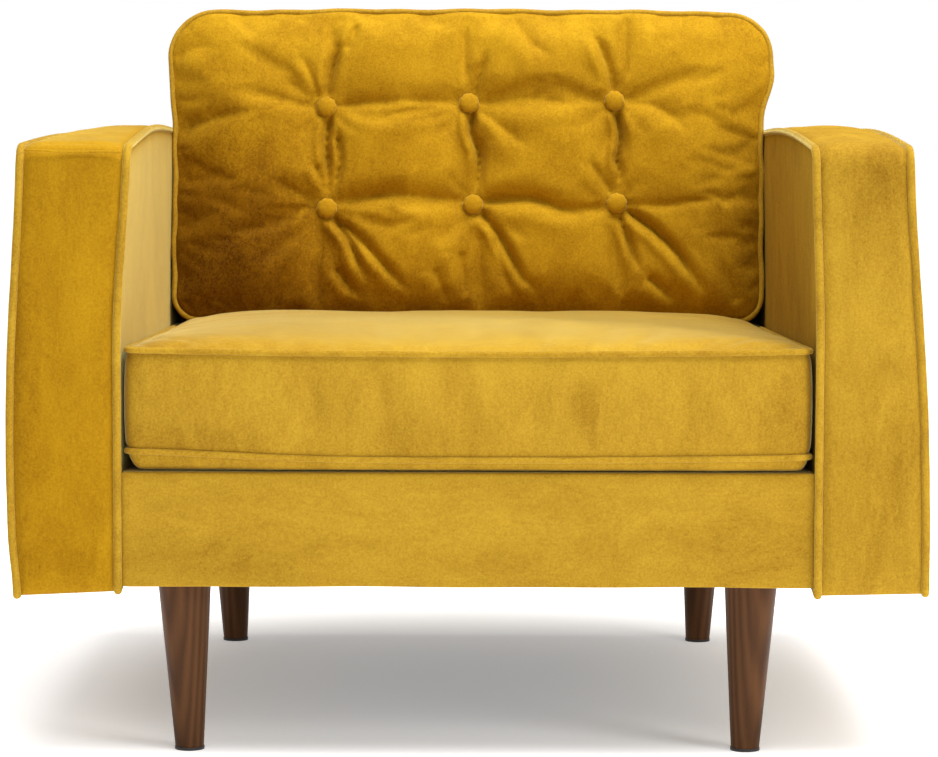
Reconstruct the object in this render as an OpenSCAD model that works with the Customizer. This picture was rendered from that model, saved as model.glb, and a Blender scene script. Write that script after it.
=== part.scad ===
// Upholstered armchair with loose cushions and screw-in tapered wooden legs.
// Millimetres, +Z up, front towards -Y, origin on the floor under the middle of the chair.

/* [Overall] */
// Width over both arms, welts included
overall_w = 940; // [900:10:1000]
// Depth over the arms, welts included
overall_d = 830; // [810:5:860]
// Underside of the seat base above the floor
base_z = 177; // [165:1:185]
// Top of the back frame's cover above the floor
back_frame_top = 722; // [700:1:735]

/* [Arms] */
// Thickness of an arm, inner face to outer face
arm_w = 111; // [100:1:130]
// Top of the arm's cover above the floor
arm_top = 630; // [610:1:645]
// Rise of the arm's top between its front and rear ends
arm_crown = 12; // [2:1:15]
// Underside of the arm above the floor
arm_z = 172; // [160:1:174]
// Corner radius of the arm's side panels
arm_r = 16; // [10:1:24]

/* [Seat] */
// Width of the seat cushion, without its welts
seat_w = 699; // [680:1:699]
// Length of the seat cushion, front to back
seat_len = 685; // [670:5:685]
// Height of the seat cushion's boxing between its two welts
seat_boxing = 109; // [90:1:115]
// Rise of the seat cushion's crown over its top welt
seat_crown = 24; // [10:1:26]
// Backward pitch of the seat deck, degrees
seat_pitch = 1.5; // [1:0.1:2]

/* [Back cushion] */
// Width of the back cushion between the arms, without its welts
back_w = 700; // [680:1:700]
// Height of the back cushion along its slope
back_h = 357; // [340:1:375]
// Thickness of the back cushion's boxing
back_t = 118; // [90:1:120]
// Backward rake of the back, degrees
rake = 7; // [5:0.5:8]
// Rise of the back cushion's front face over its front welt
back_crown = 40; // [20:1:44]
// Diameter of a covered button
button_d = 23; // [18:1:26]

/* [Legs] */
// Diameter of a leg at its top
leg_top_d = 56; // [48:1:60]
// Diameter of a leg at its foot
leg_foot_d = 29; // [26:1:34]
// Lean of a leg, its foot towards the middle of the chair, degrees
leg_lean = 1.5; // [0:0.5:3]

/* [Hidden] */
$fn = 64;
LEFT = -1;
RIGHT = 1;
FRONT = -1;
REAR = 1;
CROWN_FN = 256;

// Upholstery layers
welt_r = 3.2;
welt_in = 1.2;
welt_out = welt_r - welt_in;
cover_t = 6;
arm_pad_t = 11;
arm_top_pad_t = 19;
board_t = 4;
gap = 0.3;

// Arms: x is measured on the right-hand side, and the left arm mirrors it
arm_x0 = overall_w / 2 - welt_out - arm_w;
arm_x1 = arm_x0 + arm_w;
arm_y = overall_d / 2 - welt_out;
frame_x0 = arm_x0 + cover_t + arm_pad_t;
frame_x1 = arm_x1 - cover_t - arm_pad_t;
frame_y = arm_y - cover_t - arm_pad_t;
frame_top = arm_top - cover_t - arm_top_pad_t;
arm_floor_t = 3;
arm_floor = arm_z + arm_floor_t;
arm_post_d = 45;
arm_rail_h = 40;
arm_cap_h = 28;
arm_brace_d = 50;

// Seat base
rail_t = 25;
rail_h = 78;
rail_z = base_z + 5;
rail_top = rail_z + rail_h;
base_x = arm_x0 - welt_out - gap;
rail_x = base_x - 6;
front_face_y = -arm_y + 6;
front_rail_y = front_face_y + 12;
back_face_y = arm_y - 6;
back_rail_y = back_face_y - 12;
block_size = 120;
block_h = 38;
spring_count = 6;
spring_wire = 4;
spring_half_w = 24;
spring_step = 26;
spring_bends = 23;
spring_z = rail_top + 4;
clip_w = 14;

// Seat cushion, in a frame pitched about the cushion's front bottom edge
deck_z = 297;
deck_cloth_t = 2.4;
seat_front_y = -arm_y + 4;
seat_bottom_crown = 14;
seat_total_h = seat_bottom_crown + seat_boxing + seat_crown;
zip_w = 26;
zip_t = 1.2;
zip_inset = 40;
coil_w = 5;
coil_t = 1.4;
slider_l = 14;
slider_w = 9;
slider_t = 2.4;
puller_l = 24;

// Back: the inside back is a plane that leans back by the rake
back_foot_y = 285;
back_foot_z = 300;
deck_len = back_foot_y - 3 - seat_front_y;
back_post_w = 38;
back_seat_z = 410;
back_seat_y = back_foot_y + (back_seat_z - back_foot_z) * tan(rake) - welt_r;
back_neck = 244;
back_bulge = 10;
back_top_r = 66;
back_bottom_r = 32;
button_cols = 3;
button_rows = 2;
button_pitch_x = 173;
button_pitch_w = 124;
button_first_w = 126;
button_h = 9;
button_seat = back_t + back_crown / 2;
button_room = 3;
twine_d = 1.6;

// Legs and their fittings
leg_x = 295;
leg_y = 358;
glide_h = 3;
glide_d = 31;
plate_size = 64;
plate_t = 2.6;
leg_h = rail_z - plate_t;
bolt_d = 8;
bolt_in_leg = 38;
bolt_in_block = 30;
screw_d = 4;
screw_l = 16;
plate_hole_pitch = 48;

// Dowels and bolts that hold the frame together
dowel_d = 10;
dowel_l = 40;
arm_bolt_d = 8;
arm_bolt_ys = [-225, -75, 75, 225];
arm_bolt_z = arm_floor + arm_rail_h / 2;

// ---------- Shapes that repeat ----------

// A box between two corners
module block(lo, hi) {
    translate(lo) cube(hi - lo);
}

// Geometry drawn for the right-hand side, placed on the given side
module on_side(side) {
    mirror([side < 0 ? 1 : 0, 0, 0]) children();
}

// Lays a 2D drawing of (y, z) in the side view, and thickens it from x = lo to x = hi
module side_slab(lo, hi) {
    translate([lo, 0, 0]) rotate([90, 0, 90]) linear_extrude(hi - lo) children();
}

function arc(cx, cy, r, from, to, steps) =
    [for (i = [0:steps]) let (a = from + (to - from) * i / steps) [cx + r * cos(a), cy + r * sin(a)]];

// Area directions of a path in a plane: the outward normal at each point
function path_normal(p, i, closed) =
    let (
        n = len(p),
        before = closed ? p[(i + n - 1) % n] : p[max(i - 1, 0)],
        after = closed ? p[(i + 1) % n] : p[min(i + 1, n - 1)],
        t = after - before
    ) [t[1], -t[0]] / norm(t);

// A round cord along a flat path, drawn in (x, y) at z = 0
module cord(path, r, closed = true, sides = 8) {
    n = len(path);
    points = [
        for (i = [0:n - 1], j = [0:sides - 1])
            let (out = path_normal(path, i, closed), a = 360 * j / sides)
                [path[i][0] + r * cos(a) * out[0], path[i][1] + r * cos(a) * out[1], r * sin(a)]
    ];
    spans = closed ? n : n - 1;
    walls = [
        for (i = [0:spans - 1], j = [0:sides - 1])
            let (k = (i + 1) % n, m = (j + 1) % sides)
                each [
                    [i * sides + j, i * sides + m, k * sides + m],
                    [i * sides + j, k * sides + m, k * sides + j]
                ]
    ];
    caps = closed ? [] : [
        [for (j = [sides - 1:-1:0]) j],
        [for (j = [0:sides - 1]) (n - 1) * sides + j]
    ];
    polyhedron(points = points, faces = [for (f = concat(walls, caps)) [for (v = [len(f) - 1:-1:0]) f[v]]]);
}

// ---------- Arms ----------

// The arm's top line between its rounded corners, from one end to the other
function arm_top_line(y, top) =
    [for (i = [-11:11]) let (t = i / 12) [-t * y, top + arm_crown * (1 - t * t)]];

// Side view of an arm, as (y, z) points: straight ends, rounded top corners and a crowned top
function arm_profile(inset, low) =
    let (y = arm_y - inset, top = arm_top - inset, r = max(arm_r - inset, 2))
        concat(
            [[-y, low], [y, low]],
            arc(y - r, top - r, r, 0, 86, 8),
            arm_top_line(y - r, top),
            arc(-y + r, top - r, r, 94, 180, 8)
        );

// The welt runs up the front, over the top and down the back
function arm_welt_path() =
    let (y = arm_y - welt_in, top = arm_top - welt_in, r = arm_r - welt_in, mid = (arm_z + arm_top) / 2)
        concat(
            [[y, arm_z], [y, mid]],
            arc(y - r, top - r, r, 0, 86, 6),
            arm_top_line(y - r, top),
            arc(-y + r, top - r, r, 94, 180, 6),
            [[-y, mid], [-y, arm_z]]
        );

module arm_cover(side) {
    rebate = welt_r + welt_in + 0.2;
    color("goldenrod") on_side(side) difference() {
        union() {
            side_slab(arm_x0, arm_x0 + rebate) polygon(arm_profile(rebate, arm_z));
            side_slab(arm_x0 + rebate, arm_x1 - rebate) polygon(arm_profile(0, arm_z));
            side_slab(arm_x1 - rebate, arm_x1) polygon(arm_profile(rebate, arm_z));
        }
        side_slab(arm_x0 + cover_t, arm_x1 - cover_t) polygon(arm_profile(cover_t, arm_floor));
        arm_bolt_holes(cover = true);
    }
}

module arm_welts(side) {
    color("darkgoldenrod") on_side(side)
        for (x = [arm_x0 + welt_in, arm_x1 - welt_in])
            translate([x, 0, 0]) rotate([90, 0, 90]) cord(arm_welt_path(), welt_r, closed = false);
}

module arm_padding(side) {
    color("beige") on_side(side) difference() {
        side_slab(arm_x0 + cover_t, arm_x1 - cover_t) polygon(arm_profile(cover_t, arm_floor));
        block([frame_x0, -frame_y, arm_z - 1], [frame_x1, frame_y, frame_top]);
        arm_bolt_holes(cover = true);
    }
}

module arm_boards(side) {
    color("peru") on_side(side) difference() {
        union() {
            block([frame_x0, -frame_y, arm_floor], [frame_x0 + board_t, frame_y, frame_top]);
            block([frame_x1 - board_t, -frame_y, arm_floor], [frame_x1, frame_y, frame_top]);
        }
        arm_bolt_holes(cover = false);
    }
}

// A post, rail or brace of an arm, between its two boards
module arm_member(side, y0, z0, y1, z1) {
    color("burlywood") on_side(side) difference() {
        block([frame_x0 + board_t, y0, z0], [frame_x1 - board_t, y1, z1]);
        arm_dowels(0.1);
        arm_bolt_holes(cover = false);
    }
}

module arm_front_post(side) {
    arm_member(side, -frame_y, arm_floor, -frame_y + arm_post_d, frame_top - arm_cap_h);
}

module arm_rear_post(side) {
    arm_member(side, frame_y - arm_post_d, arm_floor, frame_y, frame_top - arm_cap_h);
}

module arm_brace(side) {
    arm_member(side, -arm_brace_d / 2, arm_floor + arm_rail_h, arm_brace_d / 2, frame_top - arm_cap_h);
}

module arm_cap_rail(side) {
    arm_member(side, -frame_y, frame_top - arm_cap_h, frame_y, frame_top);
}

module arm_bottom_rail(side) {
    arm_member(side, -frame_y + arm_post_d, arm_floor, frame_y - arm_post_d, arm_floor + arm_rail_h);
}

// ---------- Dowels ----------

arm_mid_x = (frame_x0 + frame_x1) / 2;

// Dowels of the right-hand arm: cap rail on posts and brace, bottom rail into posts and brace
module arm_dowels(room) {
    cap_joint_z = frame_top - arm_cap_h;
    for (dx = [-18, 18]) {
        for (y = [-frame_y + arm_post_d / 2, 0, frame_y - arm_post_d / 2])
            translate([arm_mid_x + dx, y, cap_joint_z + 20 - dowel_l])
                cylinder(d = dowel_d + room, h = dowel_l + room);
        for (end = [FRONT, REAR])
            translate([arm_mid_x + dx, end * (frame_y - arm_post_d) - dowel_l / 2, arm_floor + arm_rail_h / 2])
                rotate([-90, 0, 0]) cylinder(d = dowel_d + room, h = dowel_l);
        translate([arm_mid_x + dx, 0, arm_floor + arm_rail_h - dowel_l / 2])
            cylinder(d = dowel_d + room, h = dowel_l);
    }
}

// Dowels of the seat base: side rails into the front and back rails
module base_dowels(room) {
    for (x = [LEFT, RIGHT], z = [rail_z + 20, rail_top - 20]) {
        translate([x * (rail_x - rail_t / 2), front_rail_y + 5, z])
            rotate([-90, 0, 0]) cylinder(d = dowel_d + room, h = dowel_l);
        translate([x * (rail_x - rail_t / 2), back_rail_y - 5, z])
            rotate([90, 0, 0]) cylinder(d = dowel_d + room, h = dowel_l);
    }
}

// Dowels of the back: the two cross rails into the posts
module back_dowels(room) {
    for (x = [LEFT, RIGHT], z = [back_lower_z + 22, back_top_z - 22])
        translate([x * (base_x - back_post_w - 6), back_rail_y - 30, z]) rotate([0, 90, 0])
            cylinder(d = dowel_d + room, h = dowel_l, center = true);
}

module frame_dowels() {
    color("wheat") {
        on_side(LEFT) arm_dowels(0);
        on_side(RIGHT) arm_dowels(0);
        base_dowels(0);
        back_dowels(0);
    }
}

// ---------- Seat base ----------

module front_rail() {
    color("burlywood") difference() {
        block([-rail_x, front_rail_y, rail_z], [rail_x, front_rail_y + rail_t, rail_top]);
        base_dowels(0.1);
        for (side = [LEFT, RIGHT]) on_side(side) leg_screws(FRONT, 0.1);
    }
}

module back_rail() {
    color("burlywood") difference() {
        block([-rail_x, back_rail_y - rail_t, rail_z], [rail_x, back_rail_y, rail_top]);
        base_dowels(0.1);
        for (side = [LEFT, RIGHT]) on_side(side) leg_screws(REAR, 0.1);
    }
}

module side_rail(side) {
    color("burlywood") difference() {
        on_side(side)
            block([rail_x - rail_t, front_rail_y + rail_t, rail_z], [rail_x, back_rail_y - rail_t, rail_top]);
        base_dowels(0.1);
        arm_bolt_holes(cover = false);
    }
}

// Solid blocks that the leg plates screw to, one in each corner of the base
module corner_blocks() {
    x1 = rail_x - rail_t;
    color("tan") for (x = [LEFT, RIGHT], end = [FRONT, REAR])
        on_side(x) difference() {
            corner_block(x1, end);
            leg_axis(end) cylinder(d = bolt_d + 0.2, h = 2 * leg_h);
            leg_screws(end, 0.1);
        }
}

module corner_block(x1, end) {
    y1 = end == FRONT ? front_rail_y + rail_t : back_rail_y - rail_t;
    y0 = y1 - end * block_size;
    translate([0, 0, rail_z]) linear_extrude(block_h) polygon([
        [x1, y1], [x1 - block_size, y1], [x1 - block_size, y0 + end * block_size / 2],
        [x1 - block_size / 2, y0], [x1, y0]
    ]);
}

// Bolts through the side rails into the arms' bottom rails, with their heads inside the base
module arm_bolt_holes(cover) {
    for (side = [LEFT, RIGHT], y = arm_bolt_ys)
        on_side(side) translate([rail_x - rail_t - 10, y, arm_bolt_z]) rotate([0, 90, 0])
            cylinder(d = arm_bolt_d + (cover ? 3 : 0.4), h = frame_x1 - board_t - 20 - rail_x + rail_t + 10);
}

module arm_bolts() {
    head_h = 5;
    shank_l = frame_x1 - board_t - 24 - (rail_x - rail_t);
    color("silver") for (side = [LEFT, RIGHT], y = arm_bolt_ys)
        on_side(side) translate([rail_x - rail_t, y, arm_bolt_z]) rotate([0, 90, 0]) {
            cylinder(d = arm_bolt_d, h = shank_l);
            translate([0, 0, -head_h]) difference() {
                cylinder(d = 2 * arm_bolt_d, h = head_h);
                translate([0, 0, -1]) cylinder(d = 5.8, h = 4, $fn = 6);
            }
        }
}

// One sinuous spring: a wire that zigzags from the front rail to the back rail
function spring_path() =
    let (y0 = front_rail_y + rail_t / 2, y1 = back_rail_y - rail_t / 2, pitch = (y1 - y0) / spring_bends)
        concat(
            [[0, y0]],
            [for (i = [0:spring_bends - 1])
                let (s = i % 2 == 0 ? 1 : -1, y = y0 + pitch * (i + 0.5))
                    each [[s * spring_half_w * 0.8, y - pitch * 0.3], [s * spring_half_w, y],
                        [s * spring_half_w * 0.8, y + pitch * 0.3]]],
            [[0, y1]]
        );

function spring_x(i) = (i - (spring_count - 1) / 2) * 108;

module seat_springs() {
    color("dimgray") for (i = [0:spring_count - 1])
        translate([spring_x(i), 0, spring_z]) cord(spring_path(), spring_wire / 2, closed = false, sides = 6);
}

// Sheet-steel clips on top of the front and back rails, which hold the ends of the springs
module spring_clips() {
    clip_t = 1.2;
    wire_room = spring_wire / 2 + 0.2;
    color("silver") for (i = [0:spring_count - 1], end = [FRONT, REAR]) {
        y = end == FRONT ? front_rail_y + 1 : back_rail_y - 1;
        on_side(RIGHT) translate([spring_x(i) - clip_w / 2, y, rail_top]) mirror([0, end == REAR ? 1 : 0, 0]) {
            block([0, 0, 0], [clip_w, rail_t - 4, clip_t]);
            block([0, 0, clip_t], [clip_w, clip_t, spring_z - rail_top + wire_room + clip_t]);
            block([0, clip_t, spring_z - rail_top + wire_room],
                [clip_w, rail_t - 4, spring_z - rail_top + wire_room + clip_t]);
        }
    }
}

// ---------- Deck ----------

// Front edge of the pitched layers under the seat cushion
module pitched() {
    translate([0, seat_front_y, deck_z]) rotate([-seat_pitch, 0, 0]) children();
}

deck_bottom = spring_z + spring_wire / 2 + 2;
front_rail_top = deck_z - 1.5;

// A foam sheet over the springs
module deck_pad() {
    color("beige") difference() {
        block([-rail_x, front_rail_y + rail_t, deck_bottom], [rail_x, back_foot_y - 8, deck_z]);
        pitched() block([-overall_w, -overall_d, -gap - deck_cloth_t], [overall_w, overall_d, overall_w]);
    }
}

module deck_cloth() {
    color("goldenrod") difference() {
        pitched() block([-base_x, 0, -gap - deck_cloth_t], [base_x, deck_len, -gap]);
        block([-overall_w, -overall_d, 0], [overall_w, front_rail_y + rail_t, overall_w]);
    }
}

module front_rail_padding() {
    y1 = front_rail_y + rail_t - gap;
    color("beige") {
        block([-rail_x, front_face_y + cover_t, rail_z], [rail_x, front_rail_y, front_rail_top - cover_t]);
        block([-rail_x, front_rail_y, deck_bottom + 2], [rail_x, y1, front_rail_top - cover_t]);
    }
}

module front_rail_cover() {
    color("goldenrod") difference() {
        block([-base_x, front_face_y, base_z], [base_x, front_rail_y + rail_t - gap, front_rail_top]);
        block([-rail_x, front_face_y + cover_t, base_z - 1],
            [rail_x, overall_d, front_rail_top - cover_t]);
    }
}

module dust_cover() {
    color("black") difference() {
        block([-rail_x, front_rail_y, rail_z - 1.2], [rail_x, back_rail_y, rail_z]);
        for (x = [LEFT, RIGHT], end = [FRONT, REAR])
            on_side(x) leg_axis(end) cylinder(d = plate_size * 1.5, h = 2 * leg_h);
    }
}

// ---------- Back frame ----------

back_lower_z = 300;
back_top_z = back_frame_top - cover_t - 3;
back_rail_w = 40;
back_pad_t = 14;

// y of the inside back's surface at a height
function inside_back_y(z) = back_foot_y + (z - back_foot_z) * tan(rake);

// Side view of the back from the deck up: raked inside, upright outside
function back_profile(inside, outside, low, high) =
    [[inside_back_y(low) + inside, low], [back_face_y - outside, low],
        [back_face_y - outside, high], [inside_back_y(high) + inside, high]];

module back_post(side) {
    color("burlywood") on_side(side) difference() {
        side_slab(base_x - 6 - back_post_w, base_x - 6)
            polygon(back_profile(cover_t + back_pad_t, 12, rail_top, back_top_z));
        back_dowels(0.1);
    }
}

module back_cross_rail(z) {
    x = base_x - 6 - back_post_w;
    color("burlywood") difference() {
        block([-x, back_rail_y - back_rail_w, z], [x, back_rail_y - 14, z + 44]);
        back_dowels(0.1);
    }
}

module back_top_rail() {
    back_cross_rail(back_top_z - 44);
}

module back_lower_rail() {
    back_cross_rail(back_lower_z);
}

// Elastic straps from the lower rail to the top rail, on the rails' front faces
module back_webbing() {
    strap_w = 50;
    y = back_rail_y - back_rail_w;
    color("dimgray") for (i = [-2:2])
        translate([i * 110 - strap_w / 2, y - 1.6, back_lower_z + 2])
            cube([strap_w, 1.5, back_top_z - back_lower_z - 4]);
}

module back_padding() {
    color("beige") difference() {
        side_slab(-base_x + 6 + back_post_w + 1, base_x - 6 - back_post_w - 1)
            polygon(back_profile(cover_t, 0, rail_top + 12, back_top_z));
        block([-overall_w, back_rail_y - back_rail_w - 2, 0], [overall_w, overall_d, overall_w]);
    }
}

module back_cover() {
    color("goldenrod") difference() {
        side_slab(-base_x, base_x) polygon(back_profile(0, 0, base_z, back_frame_top));
        side_slab(-base_x + cover_t, base_x - cover_t)
            polygon(back_profile(cover_t, cover_t, base_z - 1, back_frame_top - cover_t));
        block([-overall_w, -overall_d, 0], [overall_w, back_rail_y - rail_t - gap, rail_top + 8]);
    }
}

// ---------- Seat cushion ----------

// A big circle through two points at a level, a width apart, which rises past the level between them
module bulge(width, level, rise, inset) {
    r = width * width / (8 * abs(rise)) + abs(rise) / 2;
    translate([0, level + rise - sign(rise) * r]) circle(r = r - inset, $fn = CROWN_FN);
}

// The seat cushion seen from the front or the side
module seat_section(width, inset) {
    intersection() {
        translate([-width / 2 + inset, 0]) square([width - 2 * inset, seat_total_h]);
        bulge(width, seat_bottom_crown + seat_boxing, seat_crown, inset);
        bulge(width, seat_bottom_crown, -seat_bottom_crown, inset);
    }
}

module seat_cushion_body(inset) {
    intersection() {
        translate([0, seat_len, 0]) rotate([90, 0, 0]) linear_extrude(seat_len)
            seat_section(seat_w, inset);
        translate([-seat_w / 2, seat_len / 2, 0]) rotate([90, 0, 90]) linear_extrude(seat_w)
            seat_section(seat_len, inset);
        linear_extrude(seat_total_h) polygon(seat_outline(inset));
    }
}

// The welts' line round the cushion, seen from above
function seat_outline(inset) =
    let (x = seat_w / 2 - inset, lo = inset, hi = seat_len - inset, r = 22 - inset)
        concat(
            arc(x - r, lo + r, r, -90, 0, 5), arc(x - r, hi - r, r, 0, 90, 5),
            arc(-x + r, hi - r, r, 90, 180, 5), arc(-x + r, lo + r, r, 180, 270, 5)
        );

module seat_welt_rooms() {
    rebate = welt_r + welt_in + 0.2;
    for (z = [seat_bottom_crown, seat_bottom_crown + seat_boxing])
        translate([0, 0, z - rebate]) linear_extrude(2 * rebate) difference() {
            translate([-seat_w, -seat_w]) square(2 * seat_w + seat_len);
            polygon(seat_outline(rebate));
        }
}

module seat_cushion_cover() {
    color("goldenrod") pitched() difference() {
        seat_cushion_body(0);
        seat_cushion_body(cover_t);
        seat_welt_rooms();
    }
}

module seat_cushion_core() {
    color("ivory") pitched() seat_cushion_body(cover_t + gap);
}

module seat_cushion_welts() {
    color("darkgoldenrod") pitched()
        for (z = [seat_bottom_crown, seat_bottom_crown + seat_boxing])
            translate([0, 0, z]) cord(seat_outline(welt_in), welt_r);
}

// ---------- Zips ----------

// A closed coil zip of a length along x: tape in the y = 0 plane, coil standing towards +y
module zip_strip(length) {
    translate([-length / 2, 0, -zip_w / 2]) cube([length, zip_t, zip_w]);
    translate([-length / 2 + 8, zip_t, -coil_w / 2]) cube([length - 16, coil_t, coil_w]);
}

// The slider straddles the coil, with its puller hanging flat
module zip_slider() {
    top = zip_t + coil_t + gap;
    translate([-slider_l / 2, top, -slider_w / 2]) cube([slider_l, slider_t, slider_w]);
    for (z = [-slider_w / 2, slider_w / 2 - 1.4])
        translate([-slider_l / 2, zip_t + gap, z]) cube([slider_l, top - zip_t, 1.4]);
    translate([-3, top + slider_t, -puller_l + 3]) difference() {
        cube([6, 1.2, puller_l]);
        translate([3, -1, 4]) rotate([-90, 0, 0]) cylinder(d = 3, h = 4);
    }
}

seat_zip_l = seat_w - 2 * zip_inset;
back_zip_l = back_w - 2 * zip_inset;

// Places the seat cushion's zip on the middle of its rear boxing
module at_seat_zip() {
    pitched() translate([0, seat_len, seat_bottom_crown + seat_boxing / 2]) children();
}

module seat_cushion_zip() {
    color("darkkhaki") at_seat_zip() zip_strip(seat_zip_l);
}

module seat_zip_slider() {
    color("silver") at_seat_zip() translate([-seat_zip_l / 2 + 20, 0, 0]) zip_slider();
}

// ---------- Back cushion ----------

// Cushion frame: x across, y up the slope, z from the cushion's rear face towards the sitter
module at_back_cushion() {
    translate([0, back_seat_y, back_seat_z]) rotate([90 - rake, 0, 0]) children();
}

// Front view of the back cushion: narrow between the arms, wider above them
function back_outline(inset) =
    let (
        x = back_w / 2 - inset, wide = x + back_bulge, hi = back_h - inset,
        low_r = back_bottom_r - inset, top_r = back_top_r - inset
    )
        concat(
            arc(x - low_r, inset + low_r, low_r, -90, 0, 6),
            [for (i = [0:4]) [x + back_bulge * (1 - cos(45 * i)) / 2, back_neck + 7 * i]],
            arc(wide - top_r, hi - top_r, top_r, 0, 90, 8),
            arc(-wide + top_r, hi - top_r, top_r, 90, 180, 8),
            [for (i = [4:-1:0]) [-x - back_bulge * (1 - cos(45 * i)) / 2, back_neck + 7 * i]],
            arc(-x + low_r, inset + low_r, low_r, 180, 270, 6)
        );

function button_x(i) = (i - (button_cols - 1) / 2) * button_pitch_x;

function button_w(j) = button_first_w + j * button_pitch_w;

module at_buttons() {
    for (i = [0:button_cols - 1], j = [0:button_rows - 1])
        translate([button_x(i), button_w(j), 0]) children();
}

// The cushion's solid: a flat rear face, and a front face that bulges over its welt
module back_cushion_body(inset) {
    total = back_t + back_crown;
    wide = back_w + 2 * back_bulge;
    intersection() {
        translate([0, 0, inset]) linear_extrude(total) polygon(back_outline(inset));
        translate([0, back_h, 0]) rotate([90, 0, 0]) linear_extrude(back_h) intersection() {
            translate([-wide / 2, 0]) square([wide, total]);
            bulge(wide, back_t, back_crown, inset);
        }
        translate([-wide / 2, back_h / 2, 0]) rotate([90, 0, 90]) linear_extrude(wide) intersection() {
            translate([-back_h / 2, 0]) square([back_h, total]);
            bulge(back_h, back_t, back_crown, inset);
        }
    }
}

// The dimples that the buttons are pulled into
module button_rooms(wall) {
    at_buttons() translate([0, 0, button_seat - wall])
        cylinder(d = button_d + 2 * button_room + 2 * wall, h = back_t);
}

module twine_holes() {
    at_buttons() translate([0, 0, -1]) cylinder(d = twine_d + 0.6, h = back_t + back_crown);
}

module back_welt_rooms() {
    rebate = welt_r + welt_in + 0.2;
    for (z = [welt_in, back_t - welt_in])
        translate([0, 0, z - rebate]) linear_extrude(2 * rebate) difference() {
            translate([-back_w, -back_w]) square(3 * back_w);
            polygon(back_outline(rebate));
        }
}

module back_cushion_cover() {
    color("goldenrod") at_back_cushion() difference() {
        back_cushion_body(0);
        difference() {
            back_cushion_body(cover_t);
            button_rooms(cover_t);
        }
        back_welt_rooms();
        button_rooms(0);
        twine_holes();
    }
}

module back_cushion_fill() {
    color("ivory") at_back_cushion() difference() {
        back_cushion_body(cover_t + gap);
        button_rooms(cover_t + gap);
        twine_holes();
    }
}

module back_cushion_welts() {
    color("darkgoldenrod") at_back_cushion()
        for (z = [welt_in, back_t - welt_in]) translate([0, 0, z]) cord(back_outline(welt_in), welt_r);
}

// A covered button: a domed cap on a short shank
module button() {
    cap_r = button_d * button_d / (8 * button_h) + button_h / 2;
    intersection() {
        cylinder(d = button_d, h = button_h);
        translate([0, 0, button_h - cap_r]) sphere(r = cap_r, $fn = 96);
    }
}

// Buttons pulled down into their dimples
module tufting_buttons() {
    color("goldenrod") at_back_cushion() at_buttons() translate([0, 0, button_seat]) difference() {
        button();
        translate([0, 0, -1]) cylinder(d = twine_d + 0.4, h = 4);
    }
}

// Twine from each button straight through the cushion to its rear face
module tufting_twines() {
    color("white") at_back_cushion() at_buttons() translate([0, 0, 0.5])
        cylinder(d = twine_d, h = button_seat + 2);
}

// Places the back cushion's zip on its bottom boxing, with the coil downwards
module at_back_zip() {
    at_back_cushion() translate([0, 0, back_t / 2]) rotate([0, 0, 180]) children();
}

module back_cushion_zip() {
    color("darkkhaki") at_back_zip() zip_strip(back_zip_l);
}

module back_zip_slider() {
    color("silver") at_back_zip() translate([-back_zip_l / 2 + 20, 0, 0]) zip_slider();
}

// ---------- Legs ----------

// The right-hand leg's axis: it passes through the foot, and leans outwards to the base
module leg_axis(end) {
    translate([leg_x - leg_h * tan(leg_lean), end * leg_y, 0]) rotate([0, leg_lean, 0]) children();
}

module leg(side, end) {
    color("saddlebrown") on_side(side) difference() {
        intersection() {
            leg_axis(end) translate([0, 0, -2])
                cylinder(d1 = leg_foot_d, d2 = leg_top_d, h = leg_h + 6);
            block([0, -overall_d, glide_h], [overall_w, overall_d, leg_h]);
        }
        leg_axis(end) translate([0, 0, leg_h - bolt_in_leg]) cylinder(d = bolt_d + 0.1, h = bolt_in_leg + 10);
        glide_nail(end, 0.1);
    }
}

module glide_nail(end, room) {
    leg_axis(end) translate([0, 0, glide_h - 0.5]) cylinder(d = 2.4 + room, h = 14 + room);
}

// Nylon glides: a disc under each foot, with a nail up into the leg
module leg_glides() {
    color("black") for (side = [LEFT, RIGHT], end = [FRONT, REAR])
        on_side(side) {
            translate([leg_x - leg_h * tan(leg_lean), end * leg_y, 0]) cylinder(d = glide_d, h = glide_h);
            glide_nail(end, 0);
        }
}

module leg_bolts() {
    color("silver") for (side = [LEFT, RIGHT], end = [FRONT, REAR])
        on_side(side) leg_axis(end) translate([0, 0, leg_h - bolt_in_leg + 1])
            cylinder(d = bolt_d, h = bolt_in_leg + bolt_in_block);
}

module at_plate(end) {
    translate([leg_x, end * leg_y, rail_z]) children();
}

module leg_screws(end, room) {
    at_plate(end) for (x = [-1, 1], y = [-1, 1])
        translate([x * plate_hole_pitch / 2, y * plate_hole_pitch / 2, -0.5])
            cylinder(d = screw_d + room, h = screw_l + 1);
}

// Steel plates screwed under the corner blocks and rails
module leg_plates() {
    color("silver") for (side = [LEFT, RIGHT], end = [FRONT, REAR])
        on_side(side) difference() {
            at_plate(end) translate([-plate_size / 2, -plate_size / 2, -plate_t])
                cube([plate_size, plate_size, plate_t]);
            leg_axis(end) cylinder(d = bolt_d + 0.2, h = 2 * leg_h);
            at_plate(end) for (x = [-1, 1], y = [-1, 1])
                translate([x * plate_hole_pitch / 2, y * plate_hole_pitch / 2, -plate_t - 1])
                    cylinder(d = screw_d + 0.6, h = plate_t + 2);
        }
}

module plate_screws() {
    head_h = 1.8;
    color("dimgray") for (side = [LEFT, RIGHT], end = [FRONT, REAR])
        on_side(side) at_plate(end) for (x = [-1, 1], y = [-1, 1])
            translate([x * plate_hole_pitch / 2, y * plate_hole_pitch / 2, -plate_t - head_h]) {
                cylinder(d = 2 * screw_d, h = head_h);
                cylinder(d = screw_d, h = head_h + plate_t + screw_l);
            }
}

// ---------- Nodes ----------

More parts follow.
